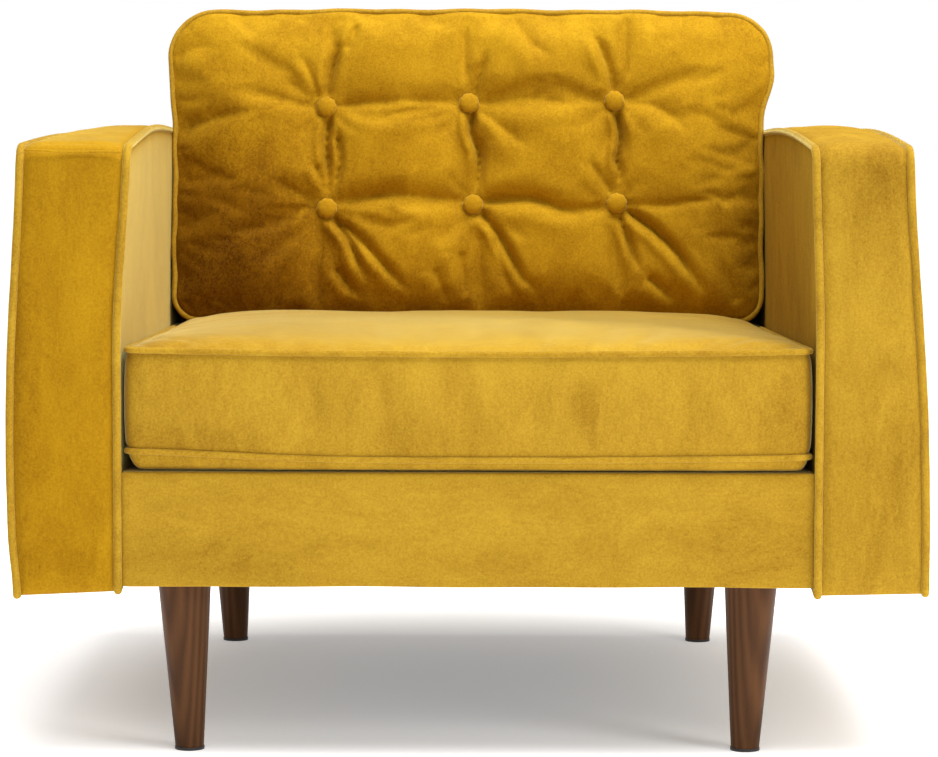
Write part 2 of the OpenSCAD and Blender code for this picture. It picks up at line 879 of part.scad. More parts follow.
front_rail();
back_rail();
side_rail(LEFT);  // left_side_rail
side_rail(RIGHT);  // right_side_rail
corner_blocks();
frame_dowels();
arm_front_post(LEFT);  // left_arm_front_post
arm_rear_post(LEFT);  // left_arm_rear_post
arm_brace(LEFT);  // left_arm_brace
arm_cap_rail(LEFT);  // left_arm_cap_rail
arm_bottom_rail(LEFT);  // left_arm_bottom_rail
arm_boards(LEFT);  // left_arm_boards
arm_padding(LEFT);  // left_arm_padding
arm_cover(LEFT);  // left_arm_cover
arm_welts(LEFT);  // left_arm_welts
arm_front_post(RIGHT);  // right_arm_front_post
arm_rear_post(RIGHT);  // right_arm_rear_post
arm_brace(RIGHT);  // right_arm_brace
arm_cap_rail(RIGHT);  // right_arm_cap_rail
arm_bottom_rail(RIGHT);  // right_arm_bottom_rail
arm_boards(RIGHT);  // right_arm_boards
arm_padding(RIGHT);  // right_arm_padding
arm_cover(RIGHT);  // right_arm_cover
arm_welts(RIGHT);  // right_arm_welts
arm_bolts();
back_post(LEFT);  // left_back_post
back_post(RIGHT);  // right_back_post
back_top_rail();
back_lower_rail();
back_webbing();
back_padding();
back_cover();
seat_springs();
spring_clips();
deck_pad();
deck_cloth();
front_rail_padding();
front_rail_cover();
dust_cover();
seat_cushion_core();
seat_cushion_cover();
seat_cushion_welts();
seat_cushion_zip();
seat_zip_slider();
back_cushion_fill();
back_cushion_cover();
back_cushion_welts();
tufting_buttons();
tufting_twines();
back_cushion_zip();
back_zip_slider();
leg(LEFT, FRONT);  // front_left_leg
leg(RIGHT, FRONT);  // front_right_leg
leg(LEFT, REAR);  // rear_left_leg
leg(RIGHT, REAR);  // rear_right_leg
leg_plates();
leg_bolts();
plate_screws();
leg_glides();
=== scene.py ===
import bpy
import math
import numpy as np
from mathutils import Matrix, Vector


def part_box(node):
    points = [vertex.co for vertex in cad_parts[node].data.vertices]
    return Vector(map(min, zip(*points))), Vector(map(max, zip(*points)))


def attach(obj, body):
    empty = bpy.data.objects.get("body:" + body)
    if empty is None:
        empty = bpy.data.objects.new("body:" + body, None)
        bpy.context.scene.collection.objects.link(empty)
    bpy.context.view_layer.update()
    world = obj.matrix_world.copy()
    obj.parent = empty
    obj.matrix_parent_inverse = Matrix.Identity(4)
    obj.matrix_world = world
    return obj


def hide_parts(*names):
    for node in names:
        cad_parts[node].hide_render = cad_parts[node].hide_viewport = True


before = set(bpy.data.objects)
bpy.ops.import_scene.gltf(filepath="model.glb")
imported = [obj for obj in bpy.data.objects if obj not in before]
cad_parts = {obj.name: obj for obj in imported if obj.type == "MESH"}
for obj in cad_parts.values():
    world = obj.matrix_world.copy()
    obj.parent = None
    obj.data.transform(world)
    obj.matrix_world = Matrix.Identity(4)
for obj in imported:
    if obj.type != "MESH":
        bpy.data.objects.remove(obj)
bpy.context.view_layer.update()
MM = 0.001


def box_mm(node):
    return [np.array(corner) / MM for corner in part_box(node)]


# ---------- Sizes in millimetres, the same as the CAD model's where it has them ----------
ARM_LO, ARM_HI = box_mm("right_arm_cover")
ARM_X0, ARM_X1 = ARM_LO[0], ARM_HI[0]
ARM_Y = ARM_HI[1]
ARM_Z0 = ARM_LO[2]
ARM_TOP = 630.0
ARM_CROWN = 12.0
ARM_R = 16.0
WELT_R = 3.2
ARM_WELT_R = 4.2
ARM_GROOVE = 3.5

RAKE = math.radians(7)
# A place on the back's raked face, and the height where the cushion in front of it starts
BACK_FACE_Y, BACK_FACE_Z = 285.0, 300.0
BACK_LOW = 410.0
BACK_O = np.array([0.0, BACK_FACE_Y + (BACK_LOW - BACK_FACE_Z) * math.tan(RAKE) - WELT_R, BACK_LOW])
BACK_W = np.array([0.0, math.sin(RAKE), math.cos(RAKE)])
BACK_V = np.array([0.0, -math.cos(RAKE), math.sin(RAKE)])
BACK_HALF, BACK_H, BACK_T = 350.0, 357.0, 118.0
BUTTONS = [(-169, 243), (1, 248), (174, 251), (-168, 122), (6, 127), (177, 129)]
BUTTON_V = 139.0
BUTTON_HOLD = 10.5

PITCH = math.radians(1.5)
SEAT_O = np.array([0.0, -(ARM_Y - 4), 297.0])
SEAT_L = np.array([0.0, math.cos(PITCH), -math.sin(PITCH)])
SEAT_N = np.array([0.0, math.sin(PITCH), math.cos(PITCH)])
SEAT_HALF, SEAT_LEN = 351.0, 685.0
SEAT_BOTTOM, SEAT_BOXING = 14.0, 109.0
SEAT_TOP = SEAT_BOTTOM + SEAT_BOXING


# ---------- Small tools ----------
def smooth(t):
    t = np.clip(t, 0.0, 1.0)
    return t * t * (3 - 2 * t)


def wave(*terms):
    """A smooth irregular number, from fixed sines: terms are (value, period) pairs."""
    total = 0.0
    for k, (value, period) in enumerate(terms):
        total = total + np.sin(value * (2 * math.pi / period) + 1.7 * k + 0.6)
    return total / len(terms)


def new_object(name, verts, faces):
    mesh = bpy.data.meshes.new(name)
    mesh.from_pydata([tuple(v) for v in np.asarray(verts) * MM], [], [tuple(f) for f in faces])
    mesh.update()
    obj = bpy.data.objects.new(name, mesh)
    bpy.context.collection.objects.link(obj)
    mesh.shade_smooth()
    return obj


def round_corners(x, y, a, b, r):
    """Moves the corners of a rectangle of half sizes a and b in, so that it has corner radius r."""
    qx, qy = np.abs(x) - (a - r), np.abs(y) - (b - r)
    inside = (qx > 0) & (qy > 0)
    big = np.maximum(qx, qy)
    length = np.hypot(qx, qy)
    f = np.where(inside & (length > 1e-6), big / np.maximum(length, 1e-6), 1.0)
    nx = np.where(inside, np.sign(x) * (a - r + qx * f), x)
    ny = np.where(inside, np.sign(y) * (b - r + qy * f), y)
    return nx, ny


def round_ends(x, y, a, b, top, bottom, upper):
    """Rounds the corners with one radius where upper is true and another where it isn't."""
    xt, yt = round_corners(x, y, a, b, top)
    xb, yb = round_corners(x, y, a, b, bottom)
    return np.where(upper, xt, xb), np.where(upper, yt, yb)


def thinned(points, gap):
    """Leaves out points that lie closer than gap to the last one kept."""
    keep = [0]
    for k in range(1, len(points)):
        if np.linalg.norm(points[k] - points[keep[-1]]) > gap:
            keep.append(k)
    return points[keep]


def uneven(points, radius, amount, *periods):
    """A cord's radius at each point: a little thicker in some places than in others."""
    step = np.arange(len(points))
    return radius * (1 + amount * wave(*((step, period) for period in periods)))


def even(n):
    return [k / n for k in range(n + 1)]


# Rows close to both welts, so that the boxing can dip beside them
GROOVED = [0, 0.03, 0.06, 0.09, 0.13, 0.2, 0.3, 0.4, 0.5, 0.6, 0.7, 0.8, 0.87, 0.91, 0.94, 0.97, 1]


class Boxed:
    """A closed soft form: two panels on a grid, joined round their edges by a strip of boxing."""

    def __init__(self, nu, nv, steps, crowd=0.09):
        """steps are the fractions across the boxing where it has a row of points, 0 and 1 among them. crowd is how
        far the panels' points gather towards their edges."""
        nb = len(steps) - 1
        self.nu, self.nb, self.steps = nu, nb, steps
        n = (nu + 1) * (nv + 1)
        self.a = np.arange(n).reshape(nu + 1, nv + 1)
        self.b = self.a + n
        loop = [(i, 0) for i in range(nu)] + [(nu, j) for j in range(nv)]
        loop += [(i, nv) for i in range(nu, 0, -1)] + [(0, j) for j in range(nv, 0, -1)]
        self.loop = loop
        self.ring_a = np.array([self.a[i, j] for i, j in loop])
        self.ring_b = np.array([self.b[i, j] for i, j in loop])
        m = len(loop)
        self.strip = 2 * n + np.arange((nb - 1) * m).reshape(nb - 1, m)
        self.count = 2 * n + (nb - 1) * m
        faces = []
        for grid, flip in ((self.a, False), (self.b, True)):
            for i in range(nu):
                for j in range(nv):
                    q = [grid[i, j], grid[i + 1, j], grid[i + 1, j + 1], grid[i, j + 1]]
                    faces.append(q[::-1] if flip else q)
        rows = [self.ring_a] + list(self.strip) + [self.ring_b]
        for k in range(nb):
            for i in range(m):
                j = (i + 1) % m
                faces.append([rows[k][i], rows[k + 1][i], rows[k + 1][j], rows[k][j]])
        self.faces = faces
        u = np.linspace(-1, 1, nu + 1)
        v = np.linspace(-1, 1, nv + 1)
        u, v = (t + crowd * np.sin(math.pi * t) for t in (u, v))
        self.u, self.v = np.meshgrid(u, v, indexing="ij")

    def build(self, name, panel_a, panel_b, puff=0.0, place=None):
        """panel_a and panel_b are arrays of points on the grid; puff is how far the boxing stands out."""
        pts = np.zeros((self.count, 3))
        pts[self.a] = panel_a
        pts[self.b] = panel_b
        ra, rb = pts[self.ring_a], pts[self.ring_b]
        along = np.roll((ra + rb) / 2, -1, 0) - np.roll((ra + rb) / 2, 1, 0)
        out = np.cross(rb - ra, along)
        out /= np.maximum(np.linalg.norm(out, axis=1, keepdims=True), 1e-9)
        centre = (ra + rb).mean(0) / 2
        if np.sum(out * ((ra + rb) / 2 - centre)) < 0:
            out = -out
        for k in range(1, self.nb):
            t = self.steps[k]
            p = puff(ra, t) if callable(puff) else puff * math.sin(math.pi * t)
            pts[self.strip[k - 1]] = ra * (1 - t) + rb * t + out * np.reshape(p, (-1, 1))
        if place:
            pts = place(pts)
        obj = new_object(name, pts, self.faces)
        p0, p1, p2, p3 = (pts[corner] for corner in np.array(self.faces).T)
        volume = np.sum(p0 * np.cross(p1, p2)) + np.sum(p0 * np.cross(p2, p3))
        if volume < 0:
            obj.data.flip_normals()
        return obj

    def rim(self, panel):
        """The points round a panel's edge, in order."""
        return np.array([panel[i, j] for i, j in self.loop])

    def full(self, across, along):
        """1 in the middle of a panel and 0 at its edges: a higher power keeps it full for longer."""
        return np.clip(1 - self.u ** across, 0, 1) * np.clip(1 - self.v ** along, 0, 1)


def groove(t, depth, reach=0.1):
    """How far the boxing dips beside a welt, at a fraction t of its width."""
    return depth * (1 - smooth(np.minimum(t, 1 - t) / reach)) * smooth(np.minimum(t, 1 - t) / 0.03)


def tube(name, path, r, closed=False, sides=12):
    """A round cord along points, in millimetres."""
    path = np.asarray(path, float)
    n = len(path)
    if closed:
        t = np.roll(path, -1, 0) - np.roll(path, 1, 0)
    else:
        t = np.gradient(path, axis=0)
    t /= np.linalg.norm(t, axis=1, keepdims=True)
    normal = np.zeros_like(path)
    ref = np.array([0.0, 0.0, 1.0]) if abs(t[0][2]) < 0.8 else np.array([1.0, 0.0, 0.0])
    prev = np.cross(t[0], ref)
    for i in range(n):
        prev = prev - t[i] * np.dot(prev, t[i])
        prev /= np.linalg.norm(prev)
        normal[i] = prev
    side = np.cross(t, normal)
    radius = np.asarray(r, float) * np.ones(n)
    verts, faces = [], []
    for k in range(sides):
        a = 2 * math.pi * k / sides
        verts.append(path + (normal * math.cos(a) + side * math.sin(a)) * radius[:, None])
    verts = np.stack(verts, 1).reshape(-1, 3)
    spans = n if closed else n - 1
    for i in range(spans):
        j = (i + 1) % n
        for k in range(sides):
            m = (k + 1) % sides
            faces.append((i * sides + k, i * sides + m, j * sides + m, j * sides + k))
    if not closed:
        faces.append(tuple(range(sides))[::-1])
        faces.append(tuple((n - 1) * sides + k for k in range(sides)))
    return new_object(name, verts, faces)


def coords(obj):
    co = np.zeros(len(obj.data.vertices) * 3)
    obj.data.vertices.foreach_get("co", co)
    return co.reshape(-1, 3) / MM


def set_coords(obj, co):
    obj.data.vertices.foreach_set("co", (co * MM).ravel())
    obj.data.update()


def bake(obj):
    """Subdivides an object once and turns the result into the mesh itself."""
    sub = obj.modifiers.new("Subdivision", "SUBSURF")
    sub.levels = sub.render_levels = 1
    graph = bpy.context.evaluated_depsgraph_get()
    graph.update()
    mesh = bpy.data.meshes.new_from_object(obj.evaluated_get(graph))
    old = obj.data
    obj.modifiers.clear()
    name = old.name
    obj.data = mesh
    bpy.data.meshes.remove(old)
    mesh.name = name
    mesh.shade_smooth()


def inflate(obj, pins, pressed, frames, pressure, cap, slack, stiff=12.0):
    """Runs a cloth simulation with air pressure inside: pins holds each vertex's weight, and pressed moves them."""
    start = coords(obj)
    group = obj.vertex_groups.new(name="pin")
    for w in np.unique(pins):
        if w > 0:
            group.add([int(i) for i in np.nonzero(pins == w)[0]], float(w), "REPLACE")
    scene = bpy.context.scene
    scene.frame_set(1)
    if pressed is not None:
        obj.shape_key_add(name="Basis")
        key = obj.shape_key_add(name="pressed")
        key.data.foreach_set("co", (pressed * MM).ravel())
        key.value = 0.0
        key.keyframe_insert("value", frame=1)
        key.value = 1.0
        key.keyframe_insert("value", frame=int(frames * 0.6))
    cloth = obj.modifiers.new("Cloth", "CLOTH")
    settings = dict(
        quality=6, mass=0.25, air_damping=2.0, tension_stiffness=stiff, compression_stiffness=stiff,
        shear_stiffness=stiff * 0.4, bending_stiffness=0.4, tension_damping=8, compression_damping=8,
        use_pressure=True, uniform_pressure_force=pressure, shrink_min=-slack, pin_stiffness=1.0,
        vertex_group_mass="pin")
    for setting, value in settings.items():
        setattr(cloth.settings, setting, value)
    cloth.settings.effector_weights.gravity = 0.0
    cloth.collision_settings.use_collision = False
    cloth.point_cache.frame_start = 1
    cloth.point_cache.frame_end = frames
    for f in range(1, frames + 1):
        scene.frame_set(f)
    graph = bpy.context.evaluated_depsgraph_get()
    co = coords(obj.evaluated_get(graph))
    obj.modifiers.clear()
    if pressed is not None:
        obj.shape_key_clear()
    obj.vertex_groups.clear()
    scene.frame_set(1)
    step = co - start
    size = np.linalg.norm(step, axis=1, keepdims=True)
    set_coords(obj, start + step * np.minimum(1.0, cap / np.maximum(size, 1e-6)))


# ---------- Materials ----------
class Nodes:
    def __init__(self, name):
        self.mat = bpy.data.materials.new(name)
        self.mat.use_nodes = True
        self.tree = self.mat.node_tree
        self.shader = self.tree.nodes["Principled BSDF"]
        self.coord = self.tree.nodes.new("ShaderNodeTexCoord").outputs["Object"]

    def put(self, socket, value):
        """Gives a socket another node's output, or a number or colour of its own."""
        if isinstance(value, bpy.types.NodeSocket):
            self.link(value, socket)
        else:
            socket.default_value = value

    def add(self, kind, **values):
        node = self.tree.nodes.new(kind)
        for key, value in values.items():
            if hasattr(node, key):
                setattr(node, key, value)
            else:
                self.put(node.inputs[key], value)
        return node

    def link(self, a, b):
        self.tree.links.new(a, b)

    def noise(self, scale, detail=3.0, rough=0.55, vector=None, distortion=0.0):
        return self.add("ShaderNodeTexNoise", Scale=scale, Detail=detail, Roughness=rough, Distortion=distortion,
                        Vector=vector or self.coord).outputs["Fac"]

    def stretched(self, scale):
        return self.add("ShaderNodeMapping", Scale=scale, Vector=self.coord).outputs["Vector"]

    def math(self, op, a, b):
        node = self.add("ShaderNodeMath", operation=op)
        self.put(node.inputs[0], a)
        self.put(node.inputs[1], b)
        return node.outputs[0]

    def total(self, *terms):
        """The sum of (value, weight) pairs."""
        parts = [self.math("MULTIPLY", value, weight) for value, weight in terms]
        while len(parts) > 1:
            parts[:2] = [self.math("ADD", parts[0], parts[1])]
        return parts[0]

    def map_range(self, value, low, high, to_low=0.0, to_high=1.0):
        ends = {"From Min": low, "From Max": high, "To Min": to_low, "To Max": to_high}
        return self.add("ShaderNodeMapRange", interpolation_type="SMOOTHSTEP", Value=value, **ends).outputs["Result"]

    def length(self, vector):
        return self.add("ShaderNodeVectorMath", operation="LENGTH", Vector=vector).outputs["Value"]

    def ramp(self, fac, stops):
        node = self.add("ShaderNodeValToRGB")
        self.link(fac, node.inputs[0])
        ramp = node.color_ramp
        while len(ramp.elements) < len(stops):
            ramp.elements.new(0.5)
        for element, (pos, col) in zip(ramp.elements, stops):
            element.position = pos
            element.color = (*col, 1)
        return node.outputs[0]

    def bump(self, height, strength, distance, normal=None):
        node = self.add("ShaderNodeBump", Strength=strength, Distance=distance, Height=height)
        if normal:
            self.link(normal, node.inputs["Normal"])
        return node.outputs[0]

    def done(self, colour, rough, normal=None, **fixed):
        self.link(colour, self.shader.inputs["Base Color"])
        self.put(self.shader.inputs["Roughness"], rough)
        if normal:
            self.link(normal, self.shader.inputs["Normal"])
        for key, value in fixed.items():
            self.shader.inputs[key].default_value = value
        return self.mat


def tint(c, k):
    return tuple(min(1.0, x * k) for x in c)


def nap(base, k):
    """Velvet's colour where it takes k times the light: browner in the dark, yellower in the light."""
    return (min(1.0, base[0] * k), min(1.0, base[1] * k ** 1.3), min(1.0, base[2] * k ** 1.8))


def velvet(name, base, mottle=0.2, sheen=0.5, sheen_tint=(1.0, 0.9, 0.36), streak=(3, 3, 3), nap_and_shade_patches=()):
    """Short-pile velvet: patches of darker or lighter tone, fine pile, and a glow where it turns away. Each patch is
    (centre, radii, tone) in millimetres: some are nap that lies another way, others are painted light and shade,
    lighter where the lamps fall and darker where they don't."""
    n = Nodes(name)
    patch = n.noise(4.0, 4.0, 0.62, n.stretched(streak), 0.7)
    hand = n.noise(24.0, 4.0, 0.65, n.stretched(streak), 1.4)
    weave = n.noise(400.0, 3.0, 0.75)
    grain = n.noise(1500.0, 2.0, 0.8)
    mix = n.total((patch, 0.38), (hand, 0.20), (weave, 0.50), (grain, 0.22))
    mix = n.math("SUBTRACT", mix, 0.155)
    # Each patch darkens or lightens the colour: nap that lies another way in some places, painted light and shade in
    # others
    for centre, radii, tone in nap_and_shade_patches:
        shift = n.add("ShaderNodeMapping", vector_type="POINT", Scale=tuple(1.0 / (r * MM) for r in radii),
                      Location=tuple(-c / r for c, r in zip(centre, radii)), Vector=n.coord)
        reach = n.math("ADD", n.length(shift.outputs["Vector"]), n.math("MULTIPLY", hand, 0.3))
        mix = n.math("ADD", mix, n.math("MULTIPLY", n.map_range(reach, 1.35, 0.1), tone))
    dark, light = 1 - mottle * 2.0, 1 + mottle * 1.7
    colour = n.ramp(mix, [(0.0, nap(base, 0.2)), (0.3, nap(base, dark)), (0.5, base), (0.7, nap(base, light)),
                          (1.0, nap(base, 1.9))])
    rough = n.math("ADD", n.math("MULTIPLY", patch, 0.12), 0.76)
    soft = n.bump(hand, 0.16, 0.0016)
    fine = n.bump(weave, 0.30, 0.0006, soft)
    normal = n.bump(grain, 0.40, 0.0003, fine)
    return n.done(colour, rough, normal, **{
        "Sheen Weight": sheen, "Sheen Roughness": 0.3, "Sheen Tint": (*sheen_tint, 1),
        "Specular IOR Level": 0.05})


def plain_cloth(name, base, pitch=900.0, rough=0.9):
    """Plain-woven cloth: crossing threads, with small thick and thin places."""
    n = Nodes(name)
    warp, weft = (n.add("ShaderNodeTexWave", wave_type="BANDS", bands_direction=way, Scale=pitch / 6.3,
                        Vector=n.coord).outputs["Fac"] for way in "XY")
    threads = n.math("MULTIPLY", warp, weft)
    slub = n.noise(60.0, 3.0, 0.6, n.stretched((1, 8, 1)))
    mix = n.total((threads, 0.35), (slub, 0.6))
    colour = n.ramp(mix, [(0.2, tint(base, 0.7)), (0.75, tint(base, 1.2))])
    return n.done(colour, rough, n.bump(threads, 0.4, 0.0004), **{"Sheen Weight": 0.15})


def walnut(name):
    n = Nodes(name)
    along = n.stretched((26.0, 26.0, 2.2))
    rings = n.add("ShaderNodeTexWave", wave_type="RINGS", rings_direction="Z", Scale=1.5, Distortion=5.0, Detail=3.0,
                  Vector=along)
    figure = n.noise(1.6, 4.0, 0.6, along, 1.0)
    pores = n.noise(60.0, 3.0, 0.7, n.stretched((30.0, 30.0, 1.2)))
    mix = n.total((rings.outputs["Fac"], 0.4), (figure, 0.6))
    mix = n.math("SUBTRACT", mix, n.math("MULTIPLY", n.math("GREATER_THAN", pores, 0.62), 0.18))
    colour = n.ramp(mix, [(0.1, (0.04, 0.0155, 0.005)), (0.45, (0.074, 0.029, 0.0085)),
                          (0.85, (0.108, 0.044, 0.014))])
    rough = n.math("ADD", n.math("MULTIPLY", figure, 0.15), 0.38)
    return n.done(colour, rough, n.bump(pores, 0.12, 0.0004), **{
        "Coat Weight": 0.02, "Coat Roughness": 0.35, "Specular IOR Level": 0.1})


def raw_wood(name, pale, dark):
    n = Nodes(name)
    rings = n.add("ShaderNodeTexWave", wave_type="BANDS", bands_direction="Z", Scale=14.0, Distortion=6.0, Detail=3.0,
                  Vector=n.stretched((3.0, 1.0, 1.0)))
    fleck = n.noise(140.0, 3.0, 0.6, n.stretched((1.0, 8.0, 8.0)))
    mix = n.total((rings.outputs["Fac"], 0.6), (fleck, 0.4))
    return n.done(n.ramp(mix, [(0.2, pale), (0.8, dark)]), 0.62, n.bump(fleck, 0.2, 0.0004))


def board(name):
    n = Nodes(name)
    fibre = n.noise(300.0, 4.0, 0.7)
    colour = n.ramp(fibre, [(0.35, (0.16, 0.09, 0.05)), (0.65, (0.27, 0.17, 0.1))])
    return n.done(colour, 0.7, n.bump(fibre, 0.3, 0.0004))


def foam(name):
    n = Nodes(name)
    cells = n.add("ShaderNodeTexVoronoi", Scale=500.0, Vector=n.coord)
    patch = n.noise(8.0)
    mix = n.total((cells.outputs["Distance"], 0.5), (patch, 0.5))
    return n.done(n.ramp(mix, [(0.2, (0.72, 0.64, 0.42)), (0.7, (0.88, 0.83, 0.66))]), 0.95,
                  n.bump(cells.outputs["Distance"], 0.5, 0.001))


def metal(name, base, rough=0.35, scale=80.0):
    n = Nodes(name)
    stain = n.noise(scale, 4.0, 0.6)
    scratch = n.noise(900.0, 2.0, 0.6, n.stretched((1, 12, 1)))
    colour = n.ramp(stain, [(0.3, tint(base, 0.75)), (0.7, tint(base, 1.1))])
    return n.done(colour, n.math("ADD", n.math("MULTIPLY", scratch, 0.25), rough - 0.1),
                  n.bump(scratch, 0.08, 0.0002), **{"Metallic": 1.0})


def plastic(name, base, rough=0.5):
    n = Nodes(name)
    skin = n.noise(700.0, 2.0, 0.6)
    scuff = n.noise(40.0, 4.0, 0.7)
    colour = n.ramp(scuff, [(0.35, tint(base, 0.8)), (0.7, tint(base, 1.35))])
    return n.done(colour, n.math("ADD", n.math("MULTIPLY", scuff, 0.3), rough - 0.15), n.bump(skin, 0.15, 0.0002))


def zip_tape(name, base):
    """Woven tape with the moulded turns of a coil across it."""
    n = Nodes(name)
    turns = n.add("ShaderNodeTexWave", wave_type="BANDS", bands_direction="X", Scale=130.0, Vector=n.coord)
    weave = n.noise(1200.0, 2.0, 0.7)
    mix = n.total((turns.outputs["Fac"], 0.6), (weave, 0.4))
    return n.done(n.ramp(mix, [(0.2, tint(base, 0.6)), (0.8, tint(base, 1.2))]), 0.6,
                  n.bump(turns.outputs["Fac"], 0.6, 0.0006))


# One velvet all over: GOLD is its colour; the paler, yellower copy, the deeper copy and the small tints per part
# below are painted light and shade, for parts that the lamps light more or less
GOLD = (0.385, 0.200, 0.006)
LIT_GOLD = (0.378, 0.215, 0.016)
SHADED_GOLD = (0.36, 0.182, 0.0045)
AMBER = (1.0, 0.8, 0.2)
M = {
    # On the seat the wide patch over the top is a painted highlight, lighter where the lamps fall from above; the
    # smaller patches darken its front and top in places
    "seat": velvet("velvet_seat", LIT_GOLD, 0.17, 1.0, (1.0, 0.91, 0.42), (5, 4, 2), [
        ((125, -409, 365), (26, 60, 46), -0.10), ((-225, -150, 440), (60, 160, 30), -0.08),
        ((30, -120, 440), (420, 420, 70), 0.21), ((-330, -380, 430), (40, 60, 40), -0.12),
        ((335, -409, 350), (45, 60, 80), -0.10), ((-310, -409, 325), (110, 60, 30), -0.10),
        ((-40, -409, 330), (60, 60, 30), -0.06)]),
    # On the back cushion the patches darken it low down, most at the lower left, and at its right edge beside the
    # arm, partly as nap that lies another way and partly as painted shade; the patch along the top is a painted
    # highlight
    "back": velvet("velvet_back", tint(GOLD, 0.96), 0.2, sheen=0.4, sheen_tint=AMBER, streak=(4, 4, 3), nap_and_shade_patches=[
        ((-300, 165, 460), (200, 200, 240), -0.40), ((-60, 165, 430), (300, 200, 70), -0.12),
        ((345, 165, 500), (70, 200, 170), -0.14), ((40, 200, 760), (330, 200, 60), 0.05)]),
    # On the left arm the long patch over the top is a painted highlight, lighter where the lamps fall from above; the
    # others darken or lighten its front in places
    "arm_left": velvet("velvet_arm_left", tint(SHADED_GOLD, 0.95), 0.17, sheen=0.42, streak=(6, 3, 2), nap_and_shade_patches=[
        ((-410, -200, 634), (90, 420, 26), 0.26), ((-455, -413, 330), (40, 60, 190), -0.10),
        ((-420, -413, 205), (90, 60, 22), -0.06), ((-390, -413, 470), (30, 60, 90), 0.06)]),
    # On the right arm the patch along the inner panel is painted shade, darker where the panel faces away from the
    # key lamp; the others darken or lighten its front in places
    "arm_right": velvet("velvet_arm_right", tint(LIT_GOLD, 0.95), 0.17, 0.04, AMBER, (6, 3, 2), [
        ((410, -413, 600), (70, 60, 80), -0.11), ((357, -100, 540), (12, 400, 260), -0.09),
        ((435, -413, 300), (40, 60, 120), -0.09), ((405, -413, 460), (50, 60, 60), 0.06)]),
    "rail": velvet("velvet_rail", tint(LIT_GOLD, 0.97), 0.16, streak=(2.5, 4, 6), nap_and_shade_patches=[
        ((270, -413, 215), (130, 60, 36), -0.09), ((-280, -413, 205), (150, 60, 30), -0.07),
        ((20, -413, 235), (150, 60, 30), 0.05)]),
    "frame_back": velvet("velvet_frame_back", GOLD, 0.17, streak=(3, 3, 2)),
    "welt": velvet("velvet_welt", LIT_GOLD, 0.2, sheen=0.6),
    "button": velvet("velvet_button", GOLD, 0.14, sheen=0.6),
    "deck": plain_cloth("platform_cloth", (0.36, 0.22, 0.06)),
    "dust": plain_cloth("dust_cloth", (0.016, 0.016, 0.017), 700.0),
    "twine": plain_cloth("twine", (0.70, 0.66, 0.55), 2000.0, 0.6),
    "webbing": plain_cloth("webbing", (0.05, 0.05, 0.055), 600.0, 0.8),
    "wadding": foam("wadding"),
    "foam": foam("foam"),
    "walnut": walnut("walnut"),
    "pine": raw_wood("pine", (0.62, 0.42, 0.22), (0.40, 0.23, 0.10)),
    "beech": raw_wood("beech", (0.66, 0.46, 0.27), (0.50, 0.32, 0.17)),
    "board": board("pressed_board"),
    "nylon": plastic("nylon", (0.012, 0.011, 0.011), 0.45),
    "zinc": metal("zinc_steel", (0.66, 0.66, 0.67), 0.38),
    "black_steel": metal("black_steel", (0.05, 0.05, 0.05), 0.42),
    "spring_steel": metal("spring_steel", (0.20, 0.20, 0.21), 0.4),
    "slider": metal("slider_metal", (0.42, 0.36, 0.24), 0.35, 300.0),
    "zip": zip_tape("zip_tape", (0.30, 0.18, 0.03)),
}


def paint(obj, key):
    obj.data.materials.clear()
    obj.data.materials.append(M[key])


def piece(obj, key, body, replaces=()):
    paint(obj, key)
    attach(obj, body)
    if replaces:
        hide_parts(*replaces)
    return obj


# ---------- Back cushion ----------
def back_place(pts):
    return BACK_O + pts[:, :1] * np.array([1.0, 0, 0]) + pts[:, 1:2] * BACK_W + pts[:, 2:] * BACK_V


def back_half(w):
    return BACK_HALF + 5.5 * smooth((w - 224) / 62.0)


def back_outline_xy(u, v, inset=0.0):
    """Grid parameters to (x, w) inside the cushion's outline."""
    a, b = BACK_HALF - inset, BACK_H / 2 - inset
    x, y = u * a, v * b
    x, y = round_ends(x, y, a, b, 52 - inset * 0.5, 27 - inset * 0.3, v > 0)
    w = y + BACK_H / 2
    x = x * back_half(w) / BACK_HALF
    x = x + 6.5 * smooth(x / 250.0) * smooth((w - 228) / 60.0)
    # A slight arch in the top edge, and the hand-sewn line wanders a little
    edge = np.clip(np.maximum(np.abs(u), np.abs(v)), 0, 1) ** 6
    w = w + 3.0 * (1 - (x / 360) ** 2) * smooth((w - 180) / 170)
    w = w + edge * 1.1 * wave((x, 173.0), (x, 71.0)) * (np.abs(v) > 0.5)
    x = x + edge * 1.1 * wave((w, 131.0), (w, 57.0)) * (np.abs(u) > 0.5)
    return x, w


def back_sag(x, w, v):
    """The cushion's lower front edge sits down into the seat."""
    return w - 9.0 * smooth((v - 68) / (BACK_T - 68)) * smooth(1 - w / 90.0)


